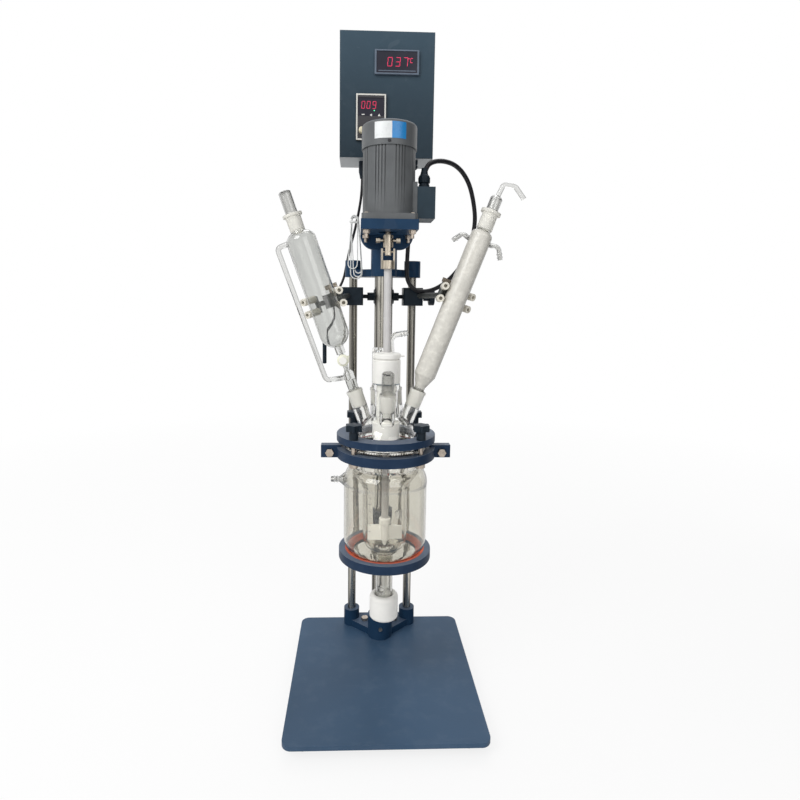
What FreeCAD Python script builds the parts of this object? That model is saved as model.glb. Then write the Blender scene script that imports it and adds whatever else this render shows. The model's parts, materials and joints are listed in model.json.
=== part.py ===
import FreeCAD, Part
import math
import os
import Sketcher
from FreeCAD import Placement, Rotation, Vector

# Benchtop jacketed glass reactor: a stand with three uprights carries a jacketed vessel in
# rings, a stirrer motor, a control box, and a dropping funnel and a condenser in claw clamps.
# Lengths are millimetres. Heights are measured above the deck, the top of the base plate, and
# X and Y from the vessel's own axis; stand_point() moves both into the frame of the part.

doc = FreeCAD.newDocument("BenchReactor")
sheet = doc.addObject("Spreadsheet::Sheet", "Sheet")


# ---------------------------------------------------------------- driving sizes

class Size:
    """A number together with the spreadsheet formula that it comes from."""

    def __init__(self, number, formula):
        self.number = float(number)
        self.formula = formula

    def __add__(self, other):
        other = as_size(other)
        return Size(self.number + other.number, f"({self.formula} + {other.formula})")

    def __sub__(self, other):
        other = as_size(other)
        return Size(self.number - other.number, f"({self.formula} - {other.formula})")

    def __rsub__(self, other):
        return as_size(other) - self

    def __mul__(self, other):
        other = as_size(other)
        return Size(self.number * other.number, f"({self.formula} * {other.formula})")

    def __truediv__(self, other):
        other = as_size(other)
        return Size(self.number / other.number, f"({self.formula} / {other.formula})")

    def __neg__(self):
        return as_size(0) - self

    __radd__ = __add__
    __rmul__ = __mul__


def as_size(value):
    if isinstance(value, Size):
        return value
    return Size(value, f"({value})" if value < 0 else f"{value}")


def root(value):
    return Size(math.sqrt(value.number), f"sqrt({value.formula})")


def sine(value):
    return Size(math.sin(math.radians(value.number)), f"sin({value.formula})")


def cosine(value):
    return Size(math.cos(math.radians(value.number)), f"cos({value.formula})")


def cells(**values):
    """Write each value into the sheet under its own alias and hand back the sizes."""
    made = {}
    for alias, number in values.items():
        row = cells.row = getattr(cells, "row", 0) + 1
        sheet.set(f"A{row}", alias)
        sheet.set(f"B{row}", str(number))
        sheet.setAlias(f"B{row}", alias)
        made[alias] = Size(number, f"Sheet.{alias}")
    return made


class Group:
    """The sizes of one part of the reactor, read as attributes."""

    def __init__(self, **values):
        self.__dict__.update(cells(**values))


frame = Group(axisX=-21, axisY=-32)
fit = Group(runningGap=0.05, seatGap=0.3, looseGap=0.1)
base = Group(plateWidth=333, plateDepth=356, plateThick=8, plateCorner=16, plateFront=153.5,
             footHeight=20, footDiameter=24, footInset=32, boltHead=13, boltHeadTall=5.5)
rail = Group(railDiameter=16.4, railX=59, railY=185, railDrop=168,
             postDiameter=35, postY=141.5, postTop=930)
cast = Group(bossDiameter=32.5, sideBossTall=35, centreBossDiameter=50, centreBossTall=45,
             webThick=14, webWidth=24, crossheadDrop=194, crossheadBossTall=32.4, sleeveTall=53)
ring = Group(ringDiameter=170, ringBore=117, lowerRingProud=8.6, lowerRingTop=257.4,
             lowerRingThick=15, lowerBoreInset=2.4, ledgeInset=13.4, ledgeDrop=7,
             clampLow=423.5, clampThick=16, ringGap=12.5, coverThick=12,
             earReach=112, earWidth=27, earTall=22, earDepth=16, earBoltX=97, earBoltDiameter=8,
             splitGap=0.6, armWidth=50, postBossTall=30,
             studCircle=78, studDiameter=8)
knob = Group(starDiameter=29, starTall=10.5, starHub=15.6, starHubTall=15, starLobe=6.5)
glass = Group(jacketDiameter=144.8, jacketWall=3, jacketCurve=29, innerDiameter=78, innerWall=3,
              jacketStraightTop=372, jacketStraightLow=276, innerTop=365, flareTop=396,
              neckDiameter=114, innerLow=277, flangeDiameter=140, flangeThick=5.7, sealThick=1.1,
              outletDiameter=30, outletWall=2.5, outletLow=150, portDiameter=11.4, portWall=2,
              upperPortUp=380, lowerPortUp=290, lowerPortTurn=30, barbReach=22.6,
              drainPortDiameter=12.6, drainPortUp=182, drainPortReach=21)
lid = Group(domeRadius=58.1, domeWall=3, neckOuter=40, neckBore=34, neckFlange=46.6,
            neckFlangeLow=539, neckFlangeTop=549.3, jointRim=28.4, jointOuter=25.8,
            jointTop=24, jointDepth=29, jointTaper=0.05, neckLength=62,
            leftTilt=19.5, rightTilt=21, sideRimX=55.6, sideRimUp=538,
            frontTilt=12, frontRimY=42, rimUp=537,
            wellNeckX=-13, wellNeckY=36.5, wellTilt=3.5, elbowNeckX=15.5, elbowNeckY=36, elbowTilt=4.5)
stir = Group(shaftDiameter=12.6, shaftDrop=64, paddleLow=270.3, paddleTall=26.8,
             paddleWidth=61, paddleThick=4, hubDiameter=21, hubTop=311, tipLow=258, paddlePitch=14,
             couplingDrop=75.8, couplingTall=55.3, crossRise=28.3, yokeDiameter=24, hubOuter=17,
             yokeArm=3.4, yokeWide=10, pinDiameter=4, setBoltRise=47.3, setBoltReach=20.3,
             motorShaftDiameter=9)
seal = Group(housingDiameter=47.8, housingTop=591, capLow=593, capTop=602, ringThick=1,
             nutDiameter=47, nutLow=454, nutTop=483)
motor = Group(mountRim=8.2, mountThick=9.5, mountCorner=8, bodyDiameter=86, bodyTall=114,
              coverStep=2, coverTall=39, coverWall=2, seatDrop=111, bracketThick=16,
              bracketProud=1, bracketLip=2, apronThick=12, apronDrop=39,
              apronCorner=24, boltInset=9.043, boltDiameter=6, grooveWidth=2.2, grooveDeep=2.4,
              boxGap=2.3, boxWide=29.2, boxFront=22, boxRear=30, boxRise=4.5, boxTall=50.5,
              glandShift=1.4, glandY=4, glandDiameter=20, glandTall=23.5, leadDiameter=8)
case = Group(caseWidth=169, caseTall=216, caseDepth=80, caseFront=100, caseLift=16.4, caseWall=1.5,
             meterWidth=78.7, meterTall=41.6, meterX=16.8, meterRise=162.6, meterDepth=50,
             speedWidth=53, speedTall=79, speedX=-28.4, speedRise=68.6, bezelThick=5, speedDepth=45,
             dialDiameter=15, dialX=-45, dialRise=44.6, dialThick=11, bracketWide=70)
funnel = Group(bulbDiameter=50.6, bulbWall=1.8, bulbLow=104, bulbHigh=264, stopcockUp=55.5,
               socketLow=281, socketTop=310, socketRim=33, socketOuter=27, armDiameter=8.8,
               keyDiameter=10.6, keyRing=19.8, stopperTop=348, stopperTube=20.8)
cond = Group(condenserDiameter=36.8, condenserWall=1.8, condenserLow=28, condenserHigh=288,
             condenserSocketLow=294, condenserSocketTop=323.5, hoseDiameter=8, outletTop=350)
claw = Group(sleeveDiameter=12.6, sleeveLength=30, prongDiameter=4.4, prongSpread=11, jawSplay=20,
             funnelClawUp=157, condenserClawUp=170, armTurn=15, clawArmDiameter=10, jawPivotX=8,
             blockWidth=45, blockDepth=50, blockTall=35, blockLow=680.6, clawBodyTall=18,
             screwDiameter=29, screwHub=16)
drain = Group(drainKnobDiameter=51, drainKnobLow=123.7, drainKnobTall=45, stemDiameter=24.84,
              seatDiameter=20, stemSeatUp=244)

# Levels and places that follow from the sizes above.
deck = base.footHeight + base.plateThick
clampTop = ring.clampLow + ring.clampThick
coverLow = clampTop + ring.ringGap
coverTop = coverLow + ring.coverThick
lidFlangeLow = clampTop + glass.flangeThick + glass.sealThick
lidFlangeTop = coverLow

# The crosshead, the motor and the control box hang on the top of the post, and the coupling
# and the stirrer's shaft hang under the motor.
rail.railTop = rail.postTop - rail.railDrop
cast.crossheadLow = rail.postTop - cast.crossheadDrop
cast.sleeveTop = cast.crossheadLow + cast.sleeveTall
motor.seatUp = rail.postTop - motor.seatDrop
motor.bodyTop = motor.seatUp + motor.bodyTall
motor.coverTop = motor.bodyTop + motor.coverTall
motor.apronLow = motor.seatUp - motor.apronDrop
motor.boxLow = motor.seatUp + motor.boxRise
motor.boxTop = motor.boxLow + motor.boxTall
motor.glandTop = motor.boxTop + motor.glandTall
stir.shaftTop = motor.seatUp - stir.shaftDrop
stir.couplingLow = motor.seatUp - stir.couplingDrop
stir.couplingTop = stir.couplingLow + stir.couplingTall
stir.crossUp = stir.couplingLow + stir.crossRise
stir.setBoltUp = stir.couplingLow + stir.setBoltRise
case.caseLow = rail.postTop + case.caseLift
case.meterUp = case.caseLow + case.meterRise
case.speedUp = case.caseLow + case.speedRise
case.dialUp = case.caseLow + case.dialRise

# The motor's bolts stand clear of its body, and its mount, its bracket, its fan cover and its
# terminal box follow them outwards. The lower ring follows the jacket that it carries.
motor.boltCircleX = (motor.bodyDiameter / 2 + motor.boltInset) / math.sqrt(2)
motor.mountWidth = (motor.boltCircleX + motor.mountRim) * 2
motor.bracketWidth = motor.mountWidth + motor.bracketProud * 2
motor.bracketFront = motor.mountWidth / 2 + motor.bracketLip
motor.apronY = motor.mountWidth / 2
motor.coverDiameter = motor.bodyDiameter + motor.coverStep * 2
motor.boxNear = motor.bodyDiameter / 2 + motor.boxGap
motor.boxFar = motor.boxNear + motor.boxWide
motor.glandX = (motor.boxNear + motor.boxFar) / 2 - motor.glandShift
ring.lowerRingDiameter = glass.jacketDiameter + ring.lowerRingProud * 2
ring.lowerRingBore = glass.jacketDiameter - ring.lowerBoreInset * 2
ring.ledgeBore = glass.jacketDiameter - ring.ledgeInset * 2
glass.barbTip = glass.jacketDiameter / 2 + glass.barbReach


# ---------------------------------------------------------------- building blocks

ALONG_X = Rotation(Vector(0, 1, 0), 90)
ALONG_Y = Rotation(Vector(1, 0, 0), -90)
UPRIGHT = Rotation()
nodes = []
serial = [0]


def fresh(name):
    serial[0] += 1
    return f"{name}_{serial[0]}"


def put(shape, at, turn=UPRIGHT, local=False):
    """Place a feature. Points are stand points unless the feature is built in its own frame."""
    x, y, z = (as_size(value) for value in at)
    if not local:
        x, y, z = x + frame.axisX, y + frame.axisY, z + deck
    shape.Placement = Placement(Vector(x.number, y.number, z.number), turn)
    for letter, value in (("x", x), ("y", y), ("z", z)):
        if "Sheet" in value.formula:
            shape.setExpression(f"Placement.Base.{letter}", value.formula)
    return shape


def bind(thing, **properties):
    for name, value in properties.items():
        value = as_size(value)
        setattr(thing, name, value.number)
        if "Sheet" in value.formula:
            thing.setExpression(name, value.formula)
    return thing


def cylinder(radius, height, at=(0, 0, 0), turn=UPRIGHT, local=False):
    made = bind(doc.addObject("Part::Cylinder", fresh("Cylinder")), Radius=radius, Height=height)
    return put(made, at, turn, local)


def cone(low_radius, top_radius, height, at=(0, 0, 0), turn=UPRIGHT, local=False):
    made = bind(doc.addObject("Part::Cone", fresh("Cone")), Radius1=low_radius,
                Radius2=top_radius, Height=height)
    return put(made, at, turn, local)


def block(width, depth, height, at=(0, 0, 0), turn=UPRIGHT, local=False):
    """A box that stands centred on its X and Y."""
    made = bind(doc.addObject("Part::Box", fresh("Box")), Length=width, Width=depth, Height=height)
    x, y, z = (as_size(value) for value in at)
    if turn is UPRIGHT:
        return put(made, (x - as_size(width) / 2, y - as_size(depth) / 2, z), turn, local)
    put(made, at, turn, local)
    shift = turn.multVec(Vector(-made.Length.Value / 2, -made.Width.Value / 2, 0))
    for letter in "xyz":
        made.setExpression(f"Placement.Base.{letter}", None)
    made.Placement.Base = made.Placement.Base + shift
    return made


def hexagon(across_flats, height, at, turn=UPRIGHT, local=False):
    made = doc.addObject("Part::Prism", fresh("Hexagon"))
    made.Polygon = 6
    bind(made, Circumradius=as_size(across_flats) / math.sqrt(3), Height=height)
    return put(made, at, turn, local)


def torus(radius, thickness, at, local=False):
    made = bind(doc.addObject("Part::Torus", fresh("Torus")), Radius1=radius,
                Radius2=as_size(thickness) / 2)
    return put(made, at, UPRIGHT, local)


def sketch(body, role, outline):
    """A closed outline whose corners are held by the sheet.

    Each corner is (x, y), or (x, y, radius) where an arc of that radius leads to the next
    corner. A positive arc turns anticlockwise.
    """
    made = body.newObject("Sketcher::SketchObject", fresh("Outline"))
    plane = [feature for feature in body.Origin.OriginFeatures if feature.Role == role][0]
    made.AttachmentSupport = [(plane, "")]
    made.MapMode = "FlatFace"
    corners = [(as_size(point[0]), as_size(point[1])) for point in outline]
    radii = {i: as_size(point[2]) for i, point in enumerate(outline) if len(point) > 2}
    count = len(corners)
    spots = [Vector(x.number, y.number, 0) for x, y in corners]
    for i in range(count):
        start, end = spots[i], spots[(i + 1) % count]
        if i not in radii:
            made.addGeometry(Part.LineSegment(start, end), False)
            continue
        radius = radii[i].number
        chord = end - start
        rise = math.sqrt(max(radius * radius - chord.Length ** 2 / 4, 0))
        normal = Vector(-chord.y, chord.x, 0).normalize()
        centre = (start + end) * 0.5 + normal * math.copysign(rise, radius)
        first = math.atan2(start.y - centre.y, start.x - centre.x)
        last = math.atan2(end.y - centre.y, end.x - centre.x)
        if radius < 0:
            first, last = last, first
        circle = Part.Circle(centre, Vector(0, 0, 1), abs(radius))
        made.addGeometry(Part.ArcOfCircle(circle, first, last), False)

    def start_of(i):
        return 2 if i in radii and radii[i].number < 0 else 1

    rules, held = [], []
    for i in range(count):
        follower = (i + 1) % count
        rules.append(Sketcher.Constraint("Coincident", i, 3 - start_of(i),
                                         follower, start_of(follower)))
    for i, corner in enumerate(corners):
        for kind, axis, value in (("DistanceX", -2, corner[0]), ("DistanceY", -1, corner[1])):
            if abs(value.number) < 1e-9:
                rules.append(Sketcher.Constraint("PointOnObject", i, start_of(i), axis))
                continue
            rules.append(Sketcher.Constraint(kind, -1, 1, i, start_of(i), value.number))
            held.append((len(rules) - 1, value))
    for i, radius in radii.items():
        rules.append(Sketcher.Constraint("Radius", i, abs(radius.number)))
        held.append((len(rules) - 1, radius if radius.number > 0 else -radius))
    made.addConstraint(rules)
    for index, value in held:
        if "Sheet" in value.formula:
            made.setExpression(f"Constraints[{index}]", value.formula)
    return made


def turned(outline, at=(0, 0, 0), turn=UPRIGHT, local=False):
    """A body turned about its own Z from an outline of (radius, height)."""
    body = doc.addObject("PartDesign::Body", fresh("Turned"))
    outline_sketch = sketch(body, "XZ_Plane", outline)
    feature = body.newObject("PartDesign::Revolution", fresh("Turning"))
    feature.Profile = outline_sketch
    feature.ReferenceAxis = (outline_sketch, ["V_Axis"])
    feature.Angle = 360
    body.Tip = feature
    return put(body, at, turn, local)


def padded(outline, height, at=(0, 0, 0), turn=UPRIGHT, local=False):
    """A body raised along its own Z from an outline of (x, y)."""
    body = doc.addObject("PartDesign::Body", fresh("Padded"))
    feature = body.newObject("PartDesign::Pad", fresh("Pad"))
    feature.Profile = sketch(body, "XY_Plane", outline)
    bind(feature, Length=height)
    body.Tip = feature
    return put(body, at, turn, local)


def fused(*parts):
    made = doc.addObject("Part::MultiFuse", fresh("Fused"))
    made.Shapes = list(parts)
    made.Refine = True
    return made


def cut(solid, *tools):
    made = doc.addObject("Part::Cut", fresh("Cut"))
    made.Base = solid
    made.Tool = tools[0] if len(tools) == 1 else fused(*tools)
    made.Refine = True
    return made


def common(solid, other):
    made = doc.addObject("Part::Common", fresh("Common"))
    made.Base = solid
    made.Tool = other
    return made


def together(*parts):
    made = doc.addObject("Part::Compound", fresh("Together"))
    made.Links = list(parts)
    return made


def node(label, made):
    made.Label = label
    nodes.append(made)
    return made


def route_wire(points, radii):
    """Straight runs joined by tangent arcs, one radius for each inner point."""
    spots = [Vector(*point) for point in points]
    edges, here = [], spots[0]
    for before, corner, after, radius in zip(spots, spots[1:], spots[2:], radii):
        into, out = (corner - before).normalize(), (after - corner).normalize()
        half = into.getAngle(out) / 2
        setback = radius * math.tan(half)
        first, last = corner - into * setback, corner + out * setback
        bow = (out - into).normalize()
        middle = corner + bow * (radius / math.cos(half) - radius)
        edges += [Part.LineSegment(here, first).toShape(), Part.Arc(first, middle, last).toShape()]
        here = last
    edges.append(Part.LineSegment(here, spots[-1]).toShape())
    return Part.Wire(edges)


def swept(points, radii, diameter):
    """A round bar along a route, as a plain shape."""
    wire = route_wire(points, radii)
    start, ahead = Vector(*points[0]), Vector(*points[1]) - Vector(*points[0])
    mouth = Part.Wire(Part.Circle(start, ahead, diameter / 2).toShape())
    return wire.makePipeShell([mouth], True, True)


def feature(shape, local=False):
    made = doc.addObject("Part::Feature", fresh("Swept"))
    made.Shape = shape
    if not local:
        made.Placement = Placement(Vector(frame.axisX.number, frame.axisY.number, deck.number),
                                   UPRIGHT)
    return made


def bent_tube(points, radii, diameter):
    return feature(swept(points, radii, diameter.number), local=True)


# ---------------------------------------------------------------- the stand

def rounded_plate(width, depth, corner, thickness, at):
    half_x, half_y = as_size(width) / 2, as_size(depth) / 2
    outline = [(half_x, corner - half_y), (half_x, half_y - corner, corner),
               (half_x - corner, half_y), (corner - half_x, half_y, corner),
               (-half_x, half_y - corner), (-half_x, corner - half_y, corner),
               (corner - half_x, -half_y), (half_x - corner, -half_y, corner)]
    return padded(outline, thickness, at)


plateY = base.plateDepth / 2 - base.plateFront
boltX, boltY = 31, 170
node("base_plate", cut(
    rounded_plate(base.plateWidth, base.plateDepth, base.plateCorner, base.plateThick,
                  (0, plateY, -base.plateThick)),
    *[cylinder(4, base.plateThick + 2, (x, boltY, -base.plateThick - 1)) for x in (-boltX, boltX)]))

footX = base.plateWidth / 2 - base.footInset
footY = base.plateDepth / 2 - base.footInset
feet = []
for side in (-1, 1):
    for end in (-1, 1):
        feet.append(cone(base.footDiameter / 2 - 2, base.footDiameter / 2, base.footHeight,
                         (footX * side, plateY + footY * end, -deck)))
node("rubber_feet", together(*feet))

postSpot = (as_size(0), rail.postY)
railSpots = [(-rail.railX, rail.railY), (rail.railX, rail.railY)]


def web(z, thickness):
    """The flat web that ties the three bosses of a casting together."""
    half = cast.webWidth / 2
    spread = cast.centreBossDiameter / 2 - 2
    outline = [(-spread, rail.postY - 4), (spread, rail.postY - 4),
               (rail.railX + half, rail.railY - 6), (rail.railX + half, rail.railY + half),
               (-rail.railX - half, rail.railY + half), (-rail.railX - half, rail.railY - 6)]
    return padded(outline, thickness, (0, 0, z))


def tripod_casting(z, side_tall, centre_tall):
    """Three bosses on one web, bored for the two rails and the post."""
    bosses = [cylinder(cast.bossDiameter / 2, side_tall, (x, y, z)) for x, y in railSpots]
    centre = cylinder(cast.centreBossDiameter / 2, centre_tall, (*postSpot, z))
    bores = [cylinder(rail.railDiameter / 2, side_tall + 2, (x, y, z - 1)) for x, y in railSpots]
    bores.append(cylinder(rail.postDiameter / 2, centre_tall + 2, (*postSpot, z - 1)))
    return cut(fused(web(z, cast.webThick), centre, *bosses), *bores)


lowCasting = tripod_casting(0, cast.sideBossTall, cast.centreBossTall)
boltHoles = [cylinder(4, cast.webThick + 2, (x, boltY, -1)) for x in (-boltX, boltX)]
grubUp = 24
postFront = rail.postY - rail.postDiameter / 2
bossFront = rail.postY - cast.centreBossDiameter / 2
grubHole = cylinder(4, postFront - bossFront + 4, (0, bossFront - 3, grubUp), ALONG_Y)
node("base_casting", cut(lowCasting, grubHole, *boltHoles))
node("crosshead", tripod_casting(cast.crossheadLow, cast.crossheadBossTall,
                                 cast.sleeveTop - cast.crossheadLow))

rails = [cylinder(rail.railDiameter / 2, rail.railTop, (x, y, 0)) for x, y in railSpots]
post = cylinder(rail.postDiameter / 2, rail.postTop, (*postSpot, 0))
node("uprights", together(*rails, post))


# ---------------------------------------------------------------- rings round the vessel

def post_boss(z):
    return cylinder(ring.armWidth / 2, ring.postBossTall, (*postSpot, z))


def post_bore(z):
    return cylinder(rail.postDiameter / 2, ring.postBossTall + 2, (*postSpot, z - 1))


lowerRingLow = ring.lowerRingTop - ring.lowerRingThick
ledgeUp = ring.lowerRingTop - ring.ledgeDrop
lowerArm = block(ring.armWidth * 0.72, rail.postY - 60, ring.lowerRingThick,
                 (0, (rail.postY + 60) / 2, lowerRingLow))
node("lower_ring", cut(
    fused(cylinder(ring.lowerRingDiameter / 2, ring.lowerRingThick, (0, 0, lowerRingLow)),
          lowerArm, post_boss(lowerRingLow)),
    cylinder(ring.lowerRingBore / 2, ring.ledgeDrop + 1, (0, 0, ledgeUp)),
    cylinder(ring.ledgeBore / 2, ring.lowerRingThick + 2, (0, 0, lowerRingLow - 1)),
    post_bore(lowerRingLow)))

# The gasket lies on the ledge, and its inner face is dished to the curve of the jacket.
gasketOuter = ring.lowerRingBore / 2 - fit.looseGap
jacketRadius = glass.jacketDiameter / 2
jacketCurve = glass.jacketCurve
bottomCurveUp = glass.jacketStraightLow


dish = jacketCurve + fit.looseGap


def dish_radius_at(height):
    """Radius of the gasket's dished face at a height."""
    drop = bottomCurveUp - height
    return root(dish * dish - drop * drop) + (jacketRadius - jacketCurve)


vesselGasket = turned([
    (gasketOuter, ledgeUp), (gasketOuter, ring.lowerRingTop),
    (dish_radius_at(ring.lowerRingTop), ring.lowerRingTop, -dish),
    (dish_radius_at(ledgeUp), ledgeUp)])

clampRadius = ring.ringDiameter / 2
flangeRadius = glass.flangeDiameter / 2
neckRadius = glass.neckDiameter / 2


def ring_ear(side, front):
    """One ear of a clamp half, with the hole for its bolt."""
    middle = (ring.earReach + clampRadius - 8) / 2 * side
    near = ring.splitGap / 2 + ring.earDepth / 4 - ring.splitGap / 4
    depth = ring.earDepth / 2 - ring.splitGap / 2
    return block(ring.earReach - clampRadius + 8, depth, ring.earTall,
                 (middle, near * front, ring.clampLow - 2.5))


def clamp_half(front):
    """Half of the clamp ring: front is -1 for the front half, 1 for the rear half."""
    disk = cylinder(clampRadius, ring.clampThick, (0, 0, ring.clampLow))
    half = block(ring.ringDiameter + 4, clampRadius + 2, ring.clampThick,
                 (0, (clampRadius + 2 + ring.splitGap) / 2 * front, ring.clampLow))
    solid = [common(disk, half), ring_ear(-1, front), ring_ear(1, front)]
    bores = [cylinder(ring.ringBore / 2, ring.clampThick + 20, (0, 0, ring.clampLow - 10)),
             cylinder(ring.earBoltDiameter / 2, 60, (ring.earBoltX, -30, earBoltUp), ALONG_Y),
             cylinder(ring.earBoltDiameter / 2, 60, (-ring.earBoltX, -30, earBoltUp), ALONG_Y)]
    if front > 0:
        arm = block(ring.armWidth * 0.72, rail.postY - 70, ring.clampThick,
                    (0, (rail.postY + 70) / 2, ring.clampLow))
        solid += [arm, post_boss(ring.clampLow - 7)]
        bores.append(post_bore(ring.clampLow - 7))
    for x, y in studSpots:
        if y.number * front > 0:
            bores.append(cylinder(ring.studDiameter / 2, 40, (x, y, ring.clampLow - 5)))
    return cut(fused(*solid), *bores)


earBoltUp = ring.clampLow - 2.5 + ring.earTall / 2 - 2
diagonal = ring.studCircle * math.sqrt(0.5)
studSpots = [(diagonal * x, diagonal * y) for x, y in ((-1, -1), (1, -1), (-1, 1), (1, 1))]
node("clamp_ring_front", clamp_half(-1))
node("clamp_ring_rear", clamp_half(1))

coverHoles = [cylinder(ring.studDiameter / 2 + fit.looseGap, 30, (x, y, coverLow - 5))
              for x, y in studSpots]
node("cover_ring", cut(cylinder(clampRadius, ring.coverThick, (0, 0, coverLow)),
                       cylinder(ring.ringBore / 2, ring.coverThick + 2, (0, 0, coverLow - 1)),
                       *coverHoles))


def star_knob(x, y):
    """A moulded knob with five lobes on a round hub, bored for its stud."""
    low = coverTop + fit.looseGap
    hub = cylinder(knob.starHub / 2, knob.starHubTall, (x, y, low))
    headLow = low + knob.starHubTall
    head = cylinder(knob.starDiameter / 2 - 2.6, knob.starTall, (x, y, headLow))
    lobes = []
    for turn in range(6):
        angle = math.radians(turn * 60 + 30)
        reach = knob.starDiameter / 2 - knob.starLobe / 2
        lobes.append(cylinder(knob.starLobe / 2, knob.starTall,
                              (x + reach * math.cos(angle), y + reach * math.sin(angle), headLow)))
    bore = cylinder(ring.studDiameter / 2 + fit.runningGap, knob.starHubTall + 3, (x, y, low - 1))
    return cut(fused(hub, head, *lobes), bore)


for number, (x, y) in enumerate(studSpots, 1):
    node(f"lid_knob_{number}", star_knob(x, y))


# ---------------------------------------------------------------- the jacketed vessel

innerRadius = glass.innerDiameter / 2
outletRadius = glass.outletDiameter / 2
flangeTop = clampTop + glass.flangeThick
jacketBottom = bottomCurveUp - jacketCurve
shoulderTop = glass.jacketStraightTop + 32


def vessel_outside():
    """The outer surface: flange, neck, jacket and outlet tube, as one turned solid."""
    return turned([
        (0, glass.outletLow), (outletRadius, glass.outletLow), (outletRadius, jacketBottom - 8, -8),
        (outletRadius + 8, jacketBottom), (jacketRadius - jacketCurve, jacketBottom, jacketCurve),
        (jacketRadius, bottomCurveUp), (jacketRadius, glass.jacketStraightTop, 36),
        (neckRadius, shoulderTop + 4), (neckRadius, clampTop), (flangeRadius, clampTop),
        (flangeRadius, flangeTop), (0, flangeTop)])


innerCurve = innerRadius - 14


def vessel_inside():
    """The space that holds the charge, down through the outlet tube."""
    wall = glass.innerWall
    bowlLow = glass.innerLow - innerCurve + wall
    return turned([
        (0, glass.outletLow - 1), (outletRadius - glass.outletWall, glass.outletLow - 1),
        (outletRadius - glass.outletWall, drain.stemSeatUp - 4), (drain.seatDiameter / 2, drain.stemSeatUp),
        (innerRadius - innerCurve, bowlLow, innerCurve - wall),
        (innerRadius - wall, glass.innerLow), (innerRadius - wall, glass.innerTop),
        (neckRadius - wall, glass.flareTop), (neckRadius - wall, flangeTop + 1), (0, flangeTop + 1)])


def jacket_space():
    """The ring-shaped space between the inner vessel and the jacket."""
    wall = glass.jacketWall
    low = jacketBottom + wall
    return turned([
        (outletRadius + 7, low), (jacketRadius - jacketCurve, low, jacketCurve - wall),
        (jacketRadius - wall, bottomCurveUp), (jacketRadius - wall, glass.jacketStraightTop, 33),
        (neckRadius + 1.5, shoulderTop), (neckRadius + 0.5, glass.flareTop),
        (innerRadius, glass.innerTop), (innerRadius, glass.innerLow, -innerCurve),
        (innerRadius - innerCurve + 3, glass.innerLow - innerCurve)])


portRadius = glass.portDiameter / 2
portSink = 0.6


def port_outside(angle, up):
    """A hose barb that stands out of the jacket along a level line at an angle from -X."""
    turn = Rotation(Vector(0, 0, 1), angle).multiply(Rotation(Vector(0, 1, 0), -90))
    reach = glass.barbTip
    root_x = jacketRadius - 6
    return turned([
        (0, root_x), (portRadius + 6.5, root_x), (portRadius + 5.5, root_x + 6),
        (portRadius - 1, root_x + 14), (portRadius - 1, root_x + 16),
        (portRadius, root_x + 17), (portRadius - 1, root_x + 21), (portRadius, root_x + 22),
        (portRadius - 1.2, reach), (0, reach)], (0, 0, up), turn)


def port_bore(angle, up):
    turn = Rotation(Vector(0, 0, 1), angle).multiply(Rotation(Vector(0, 1, 0), -90))
    start = jacketRadius - 12
    return turned([
        (0, start), (portRadius + 2.5, start),
        (portRadius + 2.5, jacketRadius - glass.jacketWall + portSink),
        (portRadius - glass.portWall - 1, jacketRadius + 8),
        (portRadius - glass.portWall - 1, glass.barbTip + 1), (0, glass.barbTip + 1)],
        (0, 0, up), turn)


ports = [(0, glass.upperPortUp), (-90 - glass.lowerPortTurn.number, glass.lowerPortUp)]
drainPort = cylinder(glass.drainPortDiameter / 2, glass.drainPortReach,
                     (-6, -glass.drainPortReach, glass.drainPortUp), ALONG_Y)
drainPortBore = cylinder(glass.drainPortDiameter / 2 - 1.6, glass.drainPortReach + 1,
                         (-6, -glass.drainPortReach - 1, glass.drainPortUp), ALONG_Y)
node("jacketed_vessel", cut(
    fused(vessel_outside(), drainPort, *[port_outside(*port) for port in ports]),
    vessel_inside(), jacket_space(), drainPortBore, *[port_bore(*port) for port in ports]))


# ---------------------------------------------------------------- the drain valve

stemRadius = drain.stemDiameter / 2
drainKnobTop = drain.drainKnobLow + drain.drainKnobTall
knobRadius = drain.drainKnobDiameter / 2
node("drain_stem", turned([
    (0, drain.drainKnobLow + 12), (5, drain.drainKnobLow + 12), (5, glass.outletLow + 3),
    (stemRadius, glass.outletLow + 3), (stemRadius, glass.drainPortUp - 12),
    (5, glass.drainPortUp - 9), (5, drain.stemSeatUp - 14), (stemRadius, drain.stemSeatUp - 12),
    (stemRadius, drain.stemSeatUp - 5), (drain.seatDiameter / 2 - 1.4, drain.stemSeatUp - 0.8),
    (drain.seatDiameter / 2 - 2.4, drain.stemSeatUp + 3), (0, drain.stemSeatUp + 3)]))
node("drain_knob", turned([
    (5 + fit.runningGap, drain.drainKnobLow + 8), (8, drain.drainKnobLow + 1), (9, drain.drainKnobLow),
    (knobRadius - 5, drain.drainKnobLow, 5), (knobRadius, drain.drainKnobLow + 5),
    (knobRadius, drainKnobTop - 7, 7), (knobRadius - 7, drainKnobTop),
    (outletRadius + 2.5, drainKnobTop), (outletRadius + fit.seatGap, drainKnobTop - 3),
    (outletRadius + fit.seatGap, glass.outletLow - fit.seatGap - 4),
    (5 + fit.runningGap, glass.outletLow - fit.seatGap - 4)]))


# ---------------------------------------------------------------- lid and ground joints

jointRadius = lid.jointTop / 2
jointLow = jointRadius - lid.jointDepth * lid.jointTaper
domeCentre = lidFlangeTop - root(lid.domeRadius * lid.domeRadius - 57 * 57)


def dome_at(radius, sphere):
    return domeCentre + root(sphere * sphere - as_size(radius) * as_size(radius))


def tilted(angle_x, angle_y):
    return Rotation(Vector(0, 1, 0), angle_y).multiply(Rotation(Vector(1, 0, 0), angle_x))


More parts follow.
